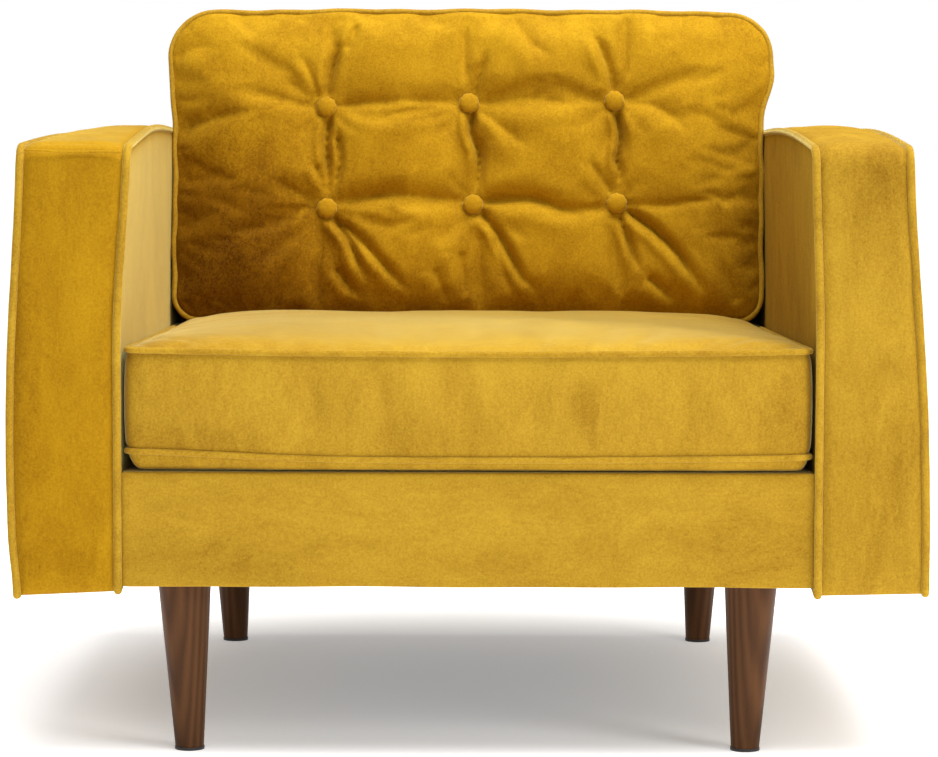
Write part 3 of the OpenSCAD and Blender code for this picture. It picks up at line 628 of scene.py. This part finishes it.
CREASES = [
    # depth, width, points (x, w)
    (9.0, 5.0, [(-167, 232), (-170, 196), (-167, 168), (-168, 135)]),
    (6.0, 4.5, [(-156, 208), (-152, 178), (-157, 153), (-164, 134)]),
    (4.5, 5.0, [(-182, 173), (-175, 153), (-171, 134)]),
    (8.0, 6.0, [(-169, 256), (-164, 286), (-156, 314), (-154, 332)]),
    (4.5, 5.0, [(-146, 312), (-136, 334), (-133, 352)]),
    (4.0, 6.0, [(-178, 254), (-186, 274), (-194, 294), (-206, 309)]),
    (3.0, 9.0, [(-184, 250), (-206, 269), (-226, 281)]),
    (10.0, 5.5, [(-162, 113), (-143, 84), (-131, 58), (-117, 28)]),
    (8.0, 6.5, [(-150, 106), (-113, 68), (-90, 41), (-66, 17)]),
    (6.0, 6.0, [(-158, 50), (-142, 30), (-126, 8)]),
    (6.0, 12.0, [(-150, 131), (-116, 136), (-66, 138), (-6, 133)]),
    (4.0, 13.0, [(-154, 244), (-116, 249), (-66, 251), (-11, 249)]),
    (4.0, 11.0, [(-181, 128), (-206, 143), (-236, 158)]),
    (4.0, 14.0, [(-352, 214), (-316, 226), (-270, 236)]),
    (3.0, 12.0, [(-354, 300), (-330, 312), (-300, 318)]),
    (10.5, 5.0, [(2, 240), (3, 209), (13, 189), (13, 163), (7, 137)]),
    (6.0, 6.0, [(5, 256), (13, 284), (22, 316)]),
    (4.0, 10.0, [(12, 240), (57, 204), (80, 190)]),
    (5.0, 13.0, [(14, 250), (67, 254), (114, 248), (160, 250)]),
    (7.0, 11.0, [(16, 130), (68, 136), (99, 127), (148, 108)]),
    (10.0, 6.0, [(14, 118), (37, 90), (50, 65), (63, 39), (90, 18)]),
    (4.5, 8.0, [(30, 88), (42, 47), (58, 8)]),
    (4.0, 8.0, [(-10, 70), (-6, 40), (-4, 6)]),
    (3.5, 8.0, [(-40, 50), (-30, 25), (-26, 4)]),
    (11.0, 4.5, [(176, 240), (182, 210), (180, 191), (175, 181), (181, 168), (179, 140)]),
    (9.5, 7.0, [(173, 262), (168, 290), (158, 316), (141, 342)]),
    (5.0, 12.0, [(186, 249), (217, 247), (243, 231), (268, 206)]),
    (5.0, 7.0, [(172, 140), (155, 163), (140, 184)]),
    (8.5, 5.0, [(180, 114), (189, 88), (196, 65), (206, 42)]),
    (10.0, 6.5, [(188, 121), (222, 96), (248, 70), (268, 40), (288, 12)]),
    (5.0, 7.0, [(214, 40), (232, 26), (250, 6)]),
    (4.0, 11.0, [(54, 350), (75, 318), (104, 300)]),
    (3.5, 12.0, [(352, 206), (318, 214), (282, 226)]),
    (3.0, 10.0, [(-300, 8), (-286, 40), (-270, 66)]),
    (3.0, 9.0, [(-230, 4), (-226, 32), (-214, 60)]),
    (3.0, 9.0, [(320, 10), (306, 44), (300, 70)]),
]


def dense(points, step=3.0):
    out = []
    pts = [np.array(p, float) for p in points]
    for p, q in zip(pts[:-1], pts[1:]):
        n = max(1, int(np.linalg.norm(q - p) / step))
        out += [p + (q - p) * k / n for k in range(n)]
    out.append(pts[-1])
    out = np.array(out)
    for _ in range(6):
        out[1:-1] = (out[:-2] + 2 * out[1:-1] + out[2:]) / 4
    return out


def crease_depth(x, w):
    """How far each point of the front face is pulled in by the folds between the buttons."""
    drop = np.zeros_like(x)
    p = np.stack([x, w], -1)
    for depth, width, points in CREASES:
        line = dense(points)
        lo, hi = line.min(0) - 5 * width, line.max(0) + 5 * width
        near = np.nonzero(((p > lo) & (p < hi)).all(-1))[0]
        if not len(near):
            continue
        d = np.linalg.norm(p[near][:, None] - line[None], axis=-1)
        k = d.argmin(1)
        d = d.min(1)
        t = k / (len(line) - 1)
        fade = smooth(t / 0.12 + 0.35) * smooth((1 - t) / 0.45)
        # The cloth rolls over a fold from its left or lower side, and lies flatter on the other
        tangent = np.gradient(line, axis=0)[k]
        off = p[near] - line[k]
        side = np.sign(tangent[:, 0] * off[:, 1] - tangent[:, 1] * off[:, 0])
        side = np.where((tangent[:, 1] > 0) & (np.abs(tangent[:, 1]) > np.abs(tangent[:, 0])), -side, side)
        valley = 1.45 * np.exp(-(d / (width * (0.72 + 0.26 * side))) ** 1.3)
        roll = (0.38 - 0.22 * side) * np.exp(-((d - 1.9 * width) / (1.2 * width)) ** 2)
        shape = valley - roll
        drop[near] += depth * fade * shape
    return drop


def make_back_cushion():
    form = Boxed(148, 76, GROOVED, 0.0)
    x, w = back_outline_xy(form.u, form.v)
    inner = (1 - form.u ** 2) ** 0.5 * (1 - form.v ** 2) ** 0.5
    crown = 30 * inner ** 0.8
    for bx, bw in BUTTONS:
        d = np.hypot(x - bx, w - bw)
        crown = crown - 8.0 * np.exp(-(d / 30.0) ** 1.5)
    front = np.stack([x, back_sag(x, w, BACK_T), BACK_T + crown], -1)
    rear = np.stack([x, w, 0 * x], -1)

    def puff(ra, t):
        # The bottom lies flat on the seat; the top and sides stand out a little
        low = smooth((ra[:, 1] + 4) / 40.0)
        beside_arm = 1 - smooth((ra[:, 1] - 225) / 40.0)
        full = 6.0 - 4.5 * beside_arm * (np.abs(ra[:, 0]) > 300)
        return low * full * math.sin(math.pi * t) ** 0.8 - groove(t, 2.2)

    obj = form.build("back_cushion", front, rear, puff)
    start = coords(obj)
    pins = np.zeros(form.count)
    pins[form.b.ravel()] = 1.0
    pins[form.ring_a] = 1.0
    pins[form.strip.ravel()] = 1.0
    pressed = start.copy()
    for bx, bw in BUTTONS:
        d = np.hypot(start[:, 0] - bx, start[:, 1] - bw)
        hit = np.nonzero((d < BUTTON_HOLD) & (start[:, 2] > BACK_T))[0]
        pins[hit] = 1.0
        pressed[hit, 2] = BUTTON_V - 5.0
        pressed[hit, :2] = np.array([bx, bw]) + (start[hit, :2] - np.array([bx, bw])) * 0.8
    inflate(obj, pins, pressed, frames=22, pressure=4.0, cap=34.0, slack=0.03)
    bake(obj)
    co = coords(obj)
    x, w, v = co[:, 0].copy(), co[:, 1].copy(), co[:, 2].copy()
    # Folds act on the front panel, and fade out at its welt
    face = smooth((v - BACK_T + 1) / 10.0)
    edge = np.minimum(BACK_HALF + 8 - np.abs(x), np.minimum(BACK_H - w, w + 9))
    face = face * smooth(edge / 16.0)
    co[:, 2] -= face * crease_depth(x, w)
    for bx, bw in BUTTONS:
        d = np.hypot(x - bx, w - bw)
        pull = np.exp(-(d / 15.0) ** 2)
        co[:, 2] = np.where(face > 0.5, co[:, 2] * (1 - pull) + np.minimum(co[:, 2], BUTTON_V - 4) * pull, co[:, 2])
    # Gathers along the welt, deeper at the corners
    near = np.exp(-((edge - 7.0) / 7.0) ** 2) * face
    run = np.where(np.abs(x) > 300, w, x)
    co[:, 2] -= near * (1.0 + 1.2 * wave((run, 31.0), (run, 19.0), (run, 47.0)))
    set_coords(obj, back_place(co))
    return obj


piece(make_back_cushion(), "back", "back_cushion", ["back_cushion_cover"])


def back_fill():
    form = Boxed(30, 16, even(4))
    x, w = back_outline_xy(form.u, form.v, 16.0)
    inner = (1 - form.u ** 2) ** 0.5 * (1 - form.v ** 2) ** 0.5
    front = np.stack([x, w, 104 + 14 * inner], -1)
    rear = np.stack([x, w, 8 + 0 * x], -1)
    obj = form.build("back_cushion_filling", front, rear, 2.0, back_place)
    bake(obj)
    return obj


piece(back_fill(), "wadding", "back_cushion", ["back_cushion_fill"])


def back_welt(name, v, radius):
    form = Boxed(112, 56, even(2))
    x, w = back_outline_xy(form.u, form.v, -0.4)
    pts = np.stack([x, back_sag(x, w, v), v + 0 * x], -1)
    ring = thinned(form.rim(pts), 2.5)
    return tube(name, back_place(ring), uneven(ring, radius, 0.05, 9.0, 5.3), closed=True)


front_welt = back_welt("back_cushion_front_welt", BACK_T, 3.4)
rear_welt = back_welt("back_cushion_rear_welt", 1.4, WELT_R)
piece(front_welt, "welt", "back_cushion", ["back_cushion_welts"])
piece(rear_welt, "welt", "back_cushion")


def make_button(index, bx, bw):
    """A domed button covered in gathered velvet."""
    sides = 48
    profile = [(1.5, 6.35), (3.5, 6.25), (6.0, 5.8), (8.6, 4.9), (10.4, 3.6), (11.5, 2.0), (11.9, 0.2), (11.4, -1.8),
               (9.8, -3.2), (6.0, -3.8)]
    verts, faces = [], []
    for k, (r, h) in enumerate(profile):
        for s in range(sides):
            a = 2 * math.pi * s / sides
            pleat = 1 + (0.012 + 0.02 * smooth((5 - h) / 6.0)) * math.sin(s * 9 * 2 * math.pi / sides + index)
            lean = 0.35 * math.sin(a + index * 2.1) * r / 11
            verts.append((r * pleat * math.cos(a), r * pleat * math.sin(a), h + lean))
    for k in range(len(profile) - 1):
        for s in range(sides):
            t = (s + 1) % sides
            faces.append((k * sides + s, k * sides + t, (k + 1) * sides + t, (k + 1) * sides + s))
    verts = np.array(verts) + np.array([bx, bw, BUTTON_V - 1.0])
    verts = np.concatenate([verts, [[bx, bw, BUTTON_V + 5.38]]])
    top = len(verts) - 1
    faces = [f[::-1] for f in faces]
    faces += [(s, (s + 1) % sides, top) for s in range(sides)]
    base = (len(profile) - 1) * sides
    faces.append(tuple(base + s for s in range(sides))[::-1])
    return new_object("tufting_button_%d" % index, back_place(verts), faces)


for i, (bx, bw) in enumerate(BUTTONS):
    button = make_button(i + 1, bx, bw)
    piece(button, "button", "back_cushion", ["tufting_buttons"] if i == 0 else ())


# ---------- Seat cushion ----------
def seat_place(pts):
    return SEAT_O + pts[:, :1] * np.array([1.0, 0, 0]) + pts[:, 1:2] * SEAT_L + pts[:, 2:] * SEAT_N


def seat_sag(x, y, z):
    """The front boxing dips in the middle, where people sit down."""
    front = smooth(1 - y / 260.0)
    mid = 1 - (x / 350.0) ** 2
    low = 1 - z / SEAT_TOP
    return z - front * mid * 3.6 + front * (1.0 + low * (0.5 + 5.5 * smooth((-x - 120) / 220.0)))


def seat_outline_xy(u, v, inset=0.0):
    a, b = SEAT_HALF - inset, SEAT_LEN / 2 - inset
    x, y = round_corners(u * a, v * b, a, b, 16 - inset * 0.4)
    y = y + SEAT_LEN / 2
    edge = np.clip(np.maximum(np.abs(u), np.abs(v)), 0, 1) ** 8
    y = y + edge * 0.9 * wave((x, 163.0), (x, 77.0)) * (v < -0.5)
    return x, y


def seat_panel(form, level, rise, inset=0.0):
    x, y = seat_outline_xy(form.u, form.v, inset)
    if rise > 0:
        crown = form.full(2, 2) ** 0.42
    else:
        edge = np.minimum((1 - np.abs(form.u)) * SEAT_HALF, (1 - np.abs(form.v)) * SEAT_LEN / 2)
        crown = 1 - np.exp(-edge / 7.0)
    z = np.maximum(seat_sag(x, y, level + 0 * x) + rise * crown, min(level, 0.6))
    return np.stack([x, y, z], -1)


def make_seat_cushion():
    form = Boxed(96, 90, GROOVED)
    top = seat_panel(form, SEAT_TOP, 15.0)
    bottom = seat_panel(form, SEAT_BOTTOM, -24.0)

    def puff(ra, t):
        # Flat at the rear, where the zip is, and squashed between the arms
        at_rear = smooth((ra[:, 1] - SEAT_LEN + 30) / 28.0)
        at_side = (np.abs(ra[:, 0]) > 340) * 1.0
        return (1 - at_rear) * (4.0 - 1.2 * at_side) * math.sin(math.pi * t) ** 0.6 - groove(t, 2.4)

    obj = form.build("seat_cushion", top, bottom, puff)
    start = coords(obj)
    pins = np.zeros(form.count)
    pins[form.b.ravel()] = 1.0
    pins[form.ring_a] = 1.0
    ring = start[form.ring_a]
    for row in form.strip:
        pins[row] = np.where((ring[:, 1] > SEAT_LEN - 40) | (np.abs(ring[:, 0]) > 335), 1.0, 0.0)
    pins[form.strip[:4].ravel()] = 1.0
    pins[form.strip[-4:].ravel()] = 1.0
    inflate(obj, pins, None, frames=18, pressure=2.2, cap=22.0, slack=0.008, stiff=14.0)
    co = coords(obj)
    lifted = co[:, 2] > SEAT_TOP
    co[lifted, 2] = SEAT_TOP + 26.0 * (1 - np.exp(-(co[lifted, 2] - SEAT_TOP) / 15.0))
    # The back cushion presses the rear of the top down
    limit = SEAT_TOP + 24 * np.clip(1 - (2 * co[:, 1] / SEAT_LEN - 1) ** 2, 0, 1)
    under = (co[:, 1] > 560) & (co[:, 2] > limit)
    co[under, 2] = limit[under]
    set_coords(obj, co)
    bake(obj)
    co = coords(obj)
    x, y, z = co.T.copy()
    edge = np.minimum(SEAT_HALF - np.abs(x), np.minimum(y, SEAT_LEN - y))
    up = smooth((z - 118) / 8.0)
    run = np.where(np.abs(x) > 320, y, x)
    near = np.exp(-((edge - 8.0) / 8.0) ** 2) * up
    co[:, 2] -= near * (0.8 + 0.7 * wave((run, 43.0), (run, 29.0), (run, 67.0)))
    # Slow hollows in the top, and faint ripples across the front
    co[:, 2] += up * smooth(edge / 60.0) * 1.6 * wave((x, 310.0), (y, 270.0), (x + y, 190.0))
    front = smooth(1 - y / 12.0) * smooth((z - 16) / 14.0) * smooth((120 - z) / 14.0)
    co[:, 1] -= front * 1.0 * wave((x, 96.0), (x + 0.6 * z, 61.0), (x - 0.4 * z, 150.0))
    set_coords(obj, seat_place(co))
    return obj


piece(make_seat_cushion(), "seat", "seat_cushion", ["seat_cushion_cover"])


def seat_core():
    form = Boxed(24, 24, even(4))
    top = seat_panel(form, 113.0, 20.0, 9.0)
    bottom = seat_panel(form, SEAT_BOTTOM + 8, -4.0, 9.0)
    obj = form.build("seat_cushion_foam", top, bottom, 0.0, seat_place)
    bake(obj)
    return obj


piece(seat_core(), "foam", "seat_cushion", ["seat_cushion_core"])


def seat_welt(name, level):
    form = Boxed(84, 84, even(2))
    x, y = seat_outline_xy(form.u, form.v, -0.2)
    pts = np.stack([x, y, seat_sag(x, y, level + 0 * x)], -1)
    ring = thinned(form.rim(pts), 2.0)
    return tube(name, seat_place(ring), uneven(ring, WELT_R, 0.04, 8.0, 5.1), closed=True)


piece(seat_welt("seat_cushion_top_welt", SEAT_TOP), "welt", "seat_cushion", ["seat_cushion_welts"])
piece(seat_welt("seat_cushion_bottom_welt", SEAT_BOTTOM), "welt", "seat_cushion")


# ---------- Arms ----------
def arm_lean(side, y, z):
    """How far the arm's inner and outer panels stand out from the middle of the chair, beyond their flat shape."""
    ahead = smooth((100 - y) / 480.0)
    high = smooth((z - 420) / 230.0)
    if side < 0:
        inner = -(2 + 10.0 * ahead) * high
        outer = -9.5 * smooth((z - 400) / 240.0) + 3.4 * np.exp(-((z - 320) / 110.0) ** 2)
        outer = outer - 3.6 * smooth((235 - z) / 60.0)
    else:
        inner = -(2 + 4.5 * ahead) * high
        outer = -17.0 * smooth((z - 330) / 310.0) + 4.0 * smooth((420 - z) / 200.0)
    return inner, outer * (0.55 + 0.45 * ahead)


def arm_top_z(side, y, across):
    """Height of the arm's top: crowned between its ends. across is 0 at its inner side and 1 at its outer side."""
    t = np.clip(np.abs(y) / (ARM_Y - ARM_R), 0, 1)
    slope = 4.0 - 10.0 * across if side < 0 else 2.0 - 0.5 * across
    return ARM_TOP + (ARM_CROWN + slope) * (1 - t * t)


def arm_panel(form, side, outer, inset=0.0):
    """One side panel, as points (x, y, z); outer is True for the outside face."""
    a = ARM_Y - inset - ARM_GROOVE
    z0, z1 = ARM_Z0 + inset * 0.3, ARM_TOP - inset - ARM_GROOVE
    b = (z1 - z0) / 2
    y, z = form.u * a, form.v * b
    y, z = round_ends(y, z, a, b, ARM_R + 2, 6.0, form.v > 0)
    z = z + (z0 + z1) / 2
    rise = smooth((z - 480) / 150.0)
    z = z + rise * (arm_top_z(side, y, 1.0 if outer else 0.0) - ARM_TOP)
    lean_in, lean_out = arm_lean(side, y, z)
    # The bottom edge isn't quite level
    low = smooth((260 - z) / 90.0)
    z = z - low * ((5.0 if outer else 0.0) if side < 0 else (1.0 if outer else 3.5)) * smooth((-y + 100) / 500.0)
    base = ARM_X1 - inset if outer else ARM_X0 + inset
    x = base + (lean_out if outer else lean_in)
    # Wadding under the panel: slightly full in the middle, drawn in at the welt
    full = form.full(8, 8)
    swell = (3.0 if outer else 1.2) * full * (1 + 0.3 * wave((y, 420.0), (z, 310.0), (y + z, 230.0)))
    x = x + (swell if outer else -swell)
    return np.stack([x * side, y, z], -1)


# Where a welt's end goes, from the arm's bottom corner: towards the arm's middle, and up
WELT_TAIL = np.array([(0, 0.8, 0.8), (0, 4.0, 0.6), (0, 10.0, 1.2), (0, 20.0, 3.0)])


def make_arm(side):
    label = "right" if side > 0 else "left"
    form = Boxed(96, 56, GROOVED)
    inner = arm_panel(form, side, False)
    outer = arm_panel(form, side, True)

    def puff(ra, t):
        y, z = ra[:, 1], ra[:, 2]
        flat_bottom = smooth((z - ARM_Z0 + 2) / 20.0)
        on_top = smooth((z - ARM_TOP + 30) / 30.0)
        crown = (2.0 + 1.6 * on_top + 0.8 * wave((y, 150.0), (z, 130.0))) * math.sin(math.pi * t) ** 0.8
        rise = ARM_GROOVE * smooth((min(t, 1 - t) - 0.05) / 0.07)
        return flat_bottom * (crown + rise)

    obj = form.build(label + "_arm", inner, outer, puff)
    bake(obj)
    co = coords(obj)
    # Soft unevenness of wadding, and short drag marks off the welts of the front band
    x, y, z = co.T.copy()
    front = smooth((-y - ARM_Y + 10) / 10.0)
    mid = (np.abs(x) - ARM_X0) / (ARM_X1 - ARM_X0)
    band = smooth(mid / 0.2) * smooth((1 - mid) / 0.2)
    co[:, 1] -= front * band * 1.1 * wave((z, 83.0), (z + x, 57.0), (z - x, 131.0))
    top = smooth((z - ARM_TOP + 4) / 8.0)
    co[:, 2] += top * band * 1.0 * wave((y, 97.0), (y + x, 63.0), (y - x, 170.0))
    # The seam across the band where the front meets the top
    seam = np.exp(-((y + ARM_Y - 13) / 2.4) ** 2) * top * (1.0 if side < 0 else 0.35)
    co[:, 2] -= seam * 1.6
    set_coords(obj, co)
    piece(obj, "arm_" + label, "chair", [label + "_arm_cover"])

    for outer_side in (False, True):
        # Open at the bottom: up from one bottom corner, over the top and down to the other
        ring = form.rim(arm_panel(form, side, outer_side))
        path = np.concatenate([ring[form.nu:], ring[:1]])
        tangent = np.gradient(path, axis=0)
        out = np.cross(tangent, np.array([1.0, 0.0, 0.0]))
        out /= np.linalg.norm(out, axis=1, keepdims=True)
        if np.sum(out * (path - np.array([0.0, 0.0, 400.0]))) < 0:
            out = -out
        path = path + out * (ARM_GROOVE + 2.0 - ARM_WELT_R)
        path[:, 0] += side * (ARM_WELT_R - 2.0) * (-1 if outer_side else 1)
        # The ends turn under the arm
        first, last = (tip + WELT_TAIL * np.array([0.0, -np.sign(tip[1]), 1.0]) for tip in (path[0], path[-1]))
        path = thinned(np.concatenate([first[::-1], path, last]), 2.5)
        name = "%s_arm_%s_welt" % (label, "outer" if outer_side else "inner")
        cord = tube(name, path, uneven(path, ARM_WELT_R, 0.03, 8.0, 5.7))
        piece(cord, "welt", "chair", () if outer_side else [label + "_arm_welts"])

    if side < 0:
        # The seam where the top of the band is joined to its front
        line = []
        for t in np.linspace(0.07, 0.93, 40):
            z = ARM_TOP - 6.0 - 2.0 * (1 - t) + 0.5 * math.sin(9 * t)
            lean_in, lean_out = arm_lean(side, -ARM_Y, z)
            x = (ARM_X0 + lean_in) * (1 - t) + (ARM_X1 + lean_out) * t
            line.append((-x, -ARM_Y - 1.4 - 1.2 * math.sin(math.pi * t), z))
        piece(tube("left_arm_band_seam", line, 1.5, sides=8), "arm_left", "chair")

    # The wadding just inside the cover
    small = Boxed(24, 14, even(4))
    inner, outer = (arm_panel(small, side, face, 6.0) for face in (False, True))
    pad = small.build(label + "_arm_wadding", inner, outer)
    bake(pad)
    piece(pad, "wadding", "chair", [label + "_arm_padding"])


make_arm(-1)
make_arm(1)


# ---------- Front rail and back ----------
def make_rail():
    lo, hi = box_mm("front_rail_cover")
    form = Boxed(90, 20, even(6))
    b = (hi[2] - lo[2]) / 2
    half = ARM_X0 + 0.5
    x, z = round_corners(form.u * half, form.v * b, half, b, 4.0)
    z = z + (hi[2] + lo[2]) / 2
    full = form.full(10, 6)
    y_front = lo[1] - full * (1.6 + 0.9 * wave((x, 260.0), (x + z, 130.0), (z, 90.0)))
    z_low = z - 0.6 * (1 - form.v) * 0.5 * wave((x, 330.0), (x, 170.0))
    front = np.stack([x, y_front, z_low], -1)
    rear = np.stack([x, 0 * x + hi[1], z], -1)
    obj = form.build("front_rail_upholstery", front, rear)
    bake(obj)
    return obj


piece(make_rail(), "rail", "chair", ["front_rail_cover", "front_rail_padding"])


def make_back():
    """The upholstered back frame: raked inside, upright outside, welted round its outside panel."""
    form = Boxed(80, 60, GROOVED)
    lo, hi = box_mm("back_cover")
    half = hi[0]
    z0, z1 = lo[2], hi[2]
    tan = math.tan(RAKE)

    def panel(y_of, full_amount):
        b = (z1 - z0) / 2
        x, z = round_ends(form.u * half, form.v * b, half, b, 22.0, 4.0, form.v > 0)
        z = z + (z0 + z1) / 2
        z = z + 2.5 * smooth((z - 560) / 160.0) * (1 - (x / half) ** 2)
        full = form.full(8, 8)
        y = y_of(z) + full * full_amount * (1 + 0.3 * wave((x, 300.0), (z, 240.0), (x + z, 170.0)))
        return np.stack([x, y, z], -1)

    outside = panel(lambda z: hi[1] + 0 * z, 3.0)
    inside = panel(lambda z: BACK_FACE_Y + (np.maximum(z, 200) - BACK_FACE_Z) * tan, 0.0)
    # Below the seat the cover runs straight down behind the back rail
    below = inside[..., 2] < 262
    inside[..., 1] = np.where(below, 371.0, inside[..., 1])
    obj = form.build("back_upholstery", inside, outside,
                     lambda ra, t: 1.5 * math.sin(math.pi * t) - groove(t, 2.0, 0.2))
    bake(obj)
    piece(obj, "frame_back", "chair", ["back_cover", "back_padding"])
    ring = form.rim(outside)
    path = thinned(np.concatenate([ring[form.nu:], ring[:1]]), 2.5)
    path[:, 1] -= 0.5
    piece(tube("back_upholstery_welt", path, 3.1), "welt", "chair")


make_back()


# ---------- The platform under the seat ----------
def grid_sheet(name, points):
    """One layer of cloth over a grid of points."""
    nu, nv = points.shape[0], points.shape[1]
    index = np.arange(nu * nv).reshape(nu, nv)
    faces = [(index[i, j], index[i + 1, j], index[i + 1, j + 1], index[i, j + 1])
             for i in range(nu - 1) for j in range(nv - 1)]
    return new_object(name, points.reshape(-1, 3), faces)


def make_platform():
    half, y0, y1 = 354.6, 39.5, 691.0
    x, y = np.meshgrid(np.linspace(-half, half, 60), np.linspace(y0, y1, 56), indexing="ij")
    dip = 1.2 * (0.5 + 0.5 * wave((x, 150.0), (y, 130.0), (x + y, 210.0)))
    points = seat_place(np.stack([x, y, -0.5 - dip], -1).reshape(-1, 3)).reshape(*x.shape, 3)
    cloth = grid_sheet("platform_cloth", points)
    piece(cloth, "deck", "chair", ["deck_cloth"])
    lo, hi = box_mm("deck_pad")
    form = Boxed(30, 30, even(3))
    x = form.u * (hi[0] - 1)
    y = (lo[1] + hi[1]) / 2 + form.v * (hi[1] - lo[1] - 2) / 2
    drop = (y - SEAT_O[1]) * math.tan(PITCH)
    top = np.stack([x, y, SEAT_O[2] - 4.6 - drop], -1)
    bottom = np.stack([x, y, 0 * x + lo[2] + 0.5], -1)
    pad = form.build("platform_pad", top, bottom)
    return piece(pad, "foam", "chair", ["deck_pad"])


make_platform()


def make_dust_cover():
    """Black cloth stapled under the base, cut round above each leg, and sagging a little."""
    lo, hi = box_mm("dust_cover")
    leg_hi = box_mm("leg_bolts")[1]
    cut_x, cut_y, cut_r = leg_hi[0] - 4.5, leg_hi[1] - 4.0, 50.0
    near = np.linspace(-1, 1, 25)
    round_leg = cut_x + cut_r * np.sin(near * math.pi / 2)
    cols = np.concatenate([np.linspace(0, cut_x - cut_r - 1, 24), round_leg, [hi[0]]])
    cols = np.concatenate([-cols[:0:-1], cols])
    gap = np.clip(cut_r ** 2 - (np.abs(cols) - cut_x) ** 2, 0, None)
    reach = np.where(gap > 0, cut_y - np.sqrt(gap), hi[1])
    v = np.linspace(-1, 1, 40)
    x = cols[:, None] + 0 * v
    y = reach[:, None] * v
    z = (lo[2] + hi[2]) / 2 - 2.6 * (1 - (x / hi[0]) ** 2) * (1 - v ** 2) * (1 + 0.3 * wave((x, 190.0), (y, 170.0)))
    cover = grid_sheet("dust_cloth", np.stack([x, y, z], -1))
    piece(cover, "dust", "chair", ["dust_cover"])


make_dust_cover()


# ---------- Other CAD nodes keep their shapes and get finished materials ----------
FINISH = {
    "walnut": ["front_left_leg", "front_right_leg", "rear_left_leg", "rear_right_leg"],
    "nylon": ["leg_glides"],
    "zinc": ["leg_plates", "leg_bolts", "arm_bolts", "spring_clips"],
    "black_steel": ["plate_screws"],
    "spring_steel": ["seat_springs"],
    "beech": ["frame_dowels"],
    "webbing": ["back_webbing"],
    "twine": ["tufting_twines"],
    "zip": ["seat_cushion_zip", "back_cushion_zip"],
    "slider": ["seat_zip_slider", "back_zip_slider"],
    "board": ["left_arm_boards", "right_arm_boards"],
}
finished = {node: key for key, nodes in FINISH.items() for node in nodes}
for node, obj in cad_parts.items():
    key = finished.get(node, "pine")
    if obj.material_slots:
        for material_slot in obj.material_slots:
            material_slot.link = "OBJECT"
            material_slot.material = M[key]


# ---------- Floor, light and camera ----------
# Metres and degrees: the camera stands where a fit to the photograph puts it, for the depth assumed in the CAD
FLOOR_SIZE = 80.0
CAMERA_AT = (-0.006, -3.84, 0.675)
CAMERA_YAW, CAMERA_PITCH, CAMERA_ROLL = 0.11, 4.7, 0.16
CAMERA_LENS, CAMERA_SENSOR = 129.34, 36.0
WORLD_LIGHT = 0.29


def floor():
    """A pale sweep that glows towards its edge, so that it runs into the white room."""
    n = Nodes("pale_floor")
    speck = n.noise(3.0)
    colour = n.ramp(speck, [(0.3, (0.89, 0.89, 0.89)), (0.7, (0.91, 0.91, 0.91))])
    glow = n.map_range(n.length(n.stretched((1.0, 0.72, 1.0))), 0.3, 0.72, 0.275, 0.9)
    n.link(glow, n.shader.inputs["Emission Strength"])
    mat = n.done(colour, 0.95, **{"Emission Color": (1, 1, 1, 1), "Specular IOR Level": 0.1})
    half = FLOOR_SIZE / MM / 2
    corners = [(-half, -half, 0), (half, -half, 0), (half, half, 0), (-half, half, 0)]
    obj = new_object("floor", corners, [(0, 1, 2, 3)])
    obj.data.materials.append(mat)


floor()


def light(name, pos, target, size, power):
    data = bpy.data.lights.new(name, "AREA")
    data.shape = "RECTANGLE"
    data.size, data.size_y = size
    data.energy = power
    obj = bpy.data.objects.new(name, data)
    obj.location = pos
    obj.rotation_euler = (Vector(target) - Vector(pos)).to_track_quat("-Z", "Y").to_euler()
    bpy.context.collection.objects.link(obj)


light("overhead", (0.4, -0.5, 3.2), (0, 0.1, 0.3), (2.4, 2.0), 158)
light("key", (2.9, -2.6, 1.9), (0, 0, 0.45), (1.4, 1.4), 57)
light("front", (0.6, -5.2, 1.5), (0, 0, 0.4), (2.6, 1.6), 18)


def make_world():
    """A white studio: plain white to look at, and a softer light on the object than the lamps give."""
    world = bpy.data.worlds.new("studio")
    bpy.context.scene.world = world
    world.use_nodes = True
    tree = world.node_tree
    seen = tree.nodes["Background"]
    seen.inputs["Color"].default_value = (1, 1, 1, 1)
    seen.inputs["Strength"].default_value = 1.0
    lit = tree.nodes.new("ShaderNodeBackground")
    lit.inputs["Color"].default_value = (1, 1, 1, 1)
    lit.inputs["Strength"].default_value = WORLD_LIGHT
    mix = tree.nodes.new("ShaderNodeMixShader")
    path = tree.nodes.new("ShaderNodeLightPath")
    tree.links.new(path.outputs["Is Camera Ray"], mix.inputs[0])
    tree.links.new(lit.outputs[0], mix.inputs[1])
    tree.links.new(seen.outputs[0], mix.inputs[2])
    tree.links.new(mix.outputs[0], tree.nodes["World Output"].inputs[0])


make_world()
bpy.context.scene.view_settings.view_transform = "Standard"


def camera():
    data = bpy.data.cameras.new("camera")
    data.sensor_width = CAMERA_SENSOR
    data.lens = CAMERA_LENS
    data.clip_end = 100
    obj = bpy.data.objects.new("camera", data)
    yaw, pitch, roll = (math.radians(angle) for angle in (CAMERA_YAW, CAMERA_PITCH, CAMERA_ROLL))
    forward = Vector((math.sin(yaw) * math.cos(pitch), math.cos(yaw) * math.cos(pitch), -math.sin(pitch)))
    right = Vector((math.cos(yaw), -math.sin(yaw), 0))
    up = right.cross(forward)
    right, up = right * math.cos(roll) + up * math.sin(roll), up * math.cos(roll) - right * math.sin(roll)
    turn = Matrix((right, up, -forward)).transposed().to_4x4()
    obj.matrix_world = Matrix.Translation(CAMERA_AT) @ turn
    bpy.context.collection.objects.link(obj)
    bpy.context.scene.camera = obj


camera()
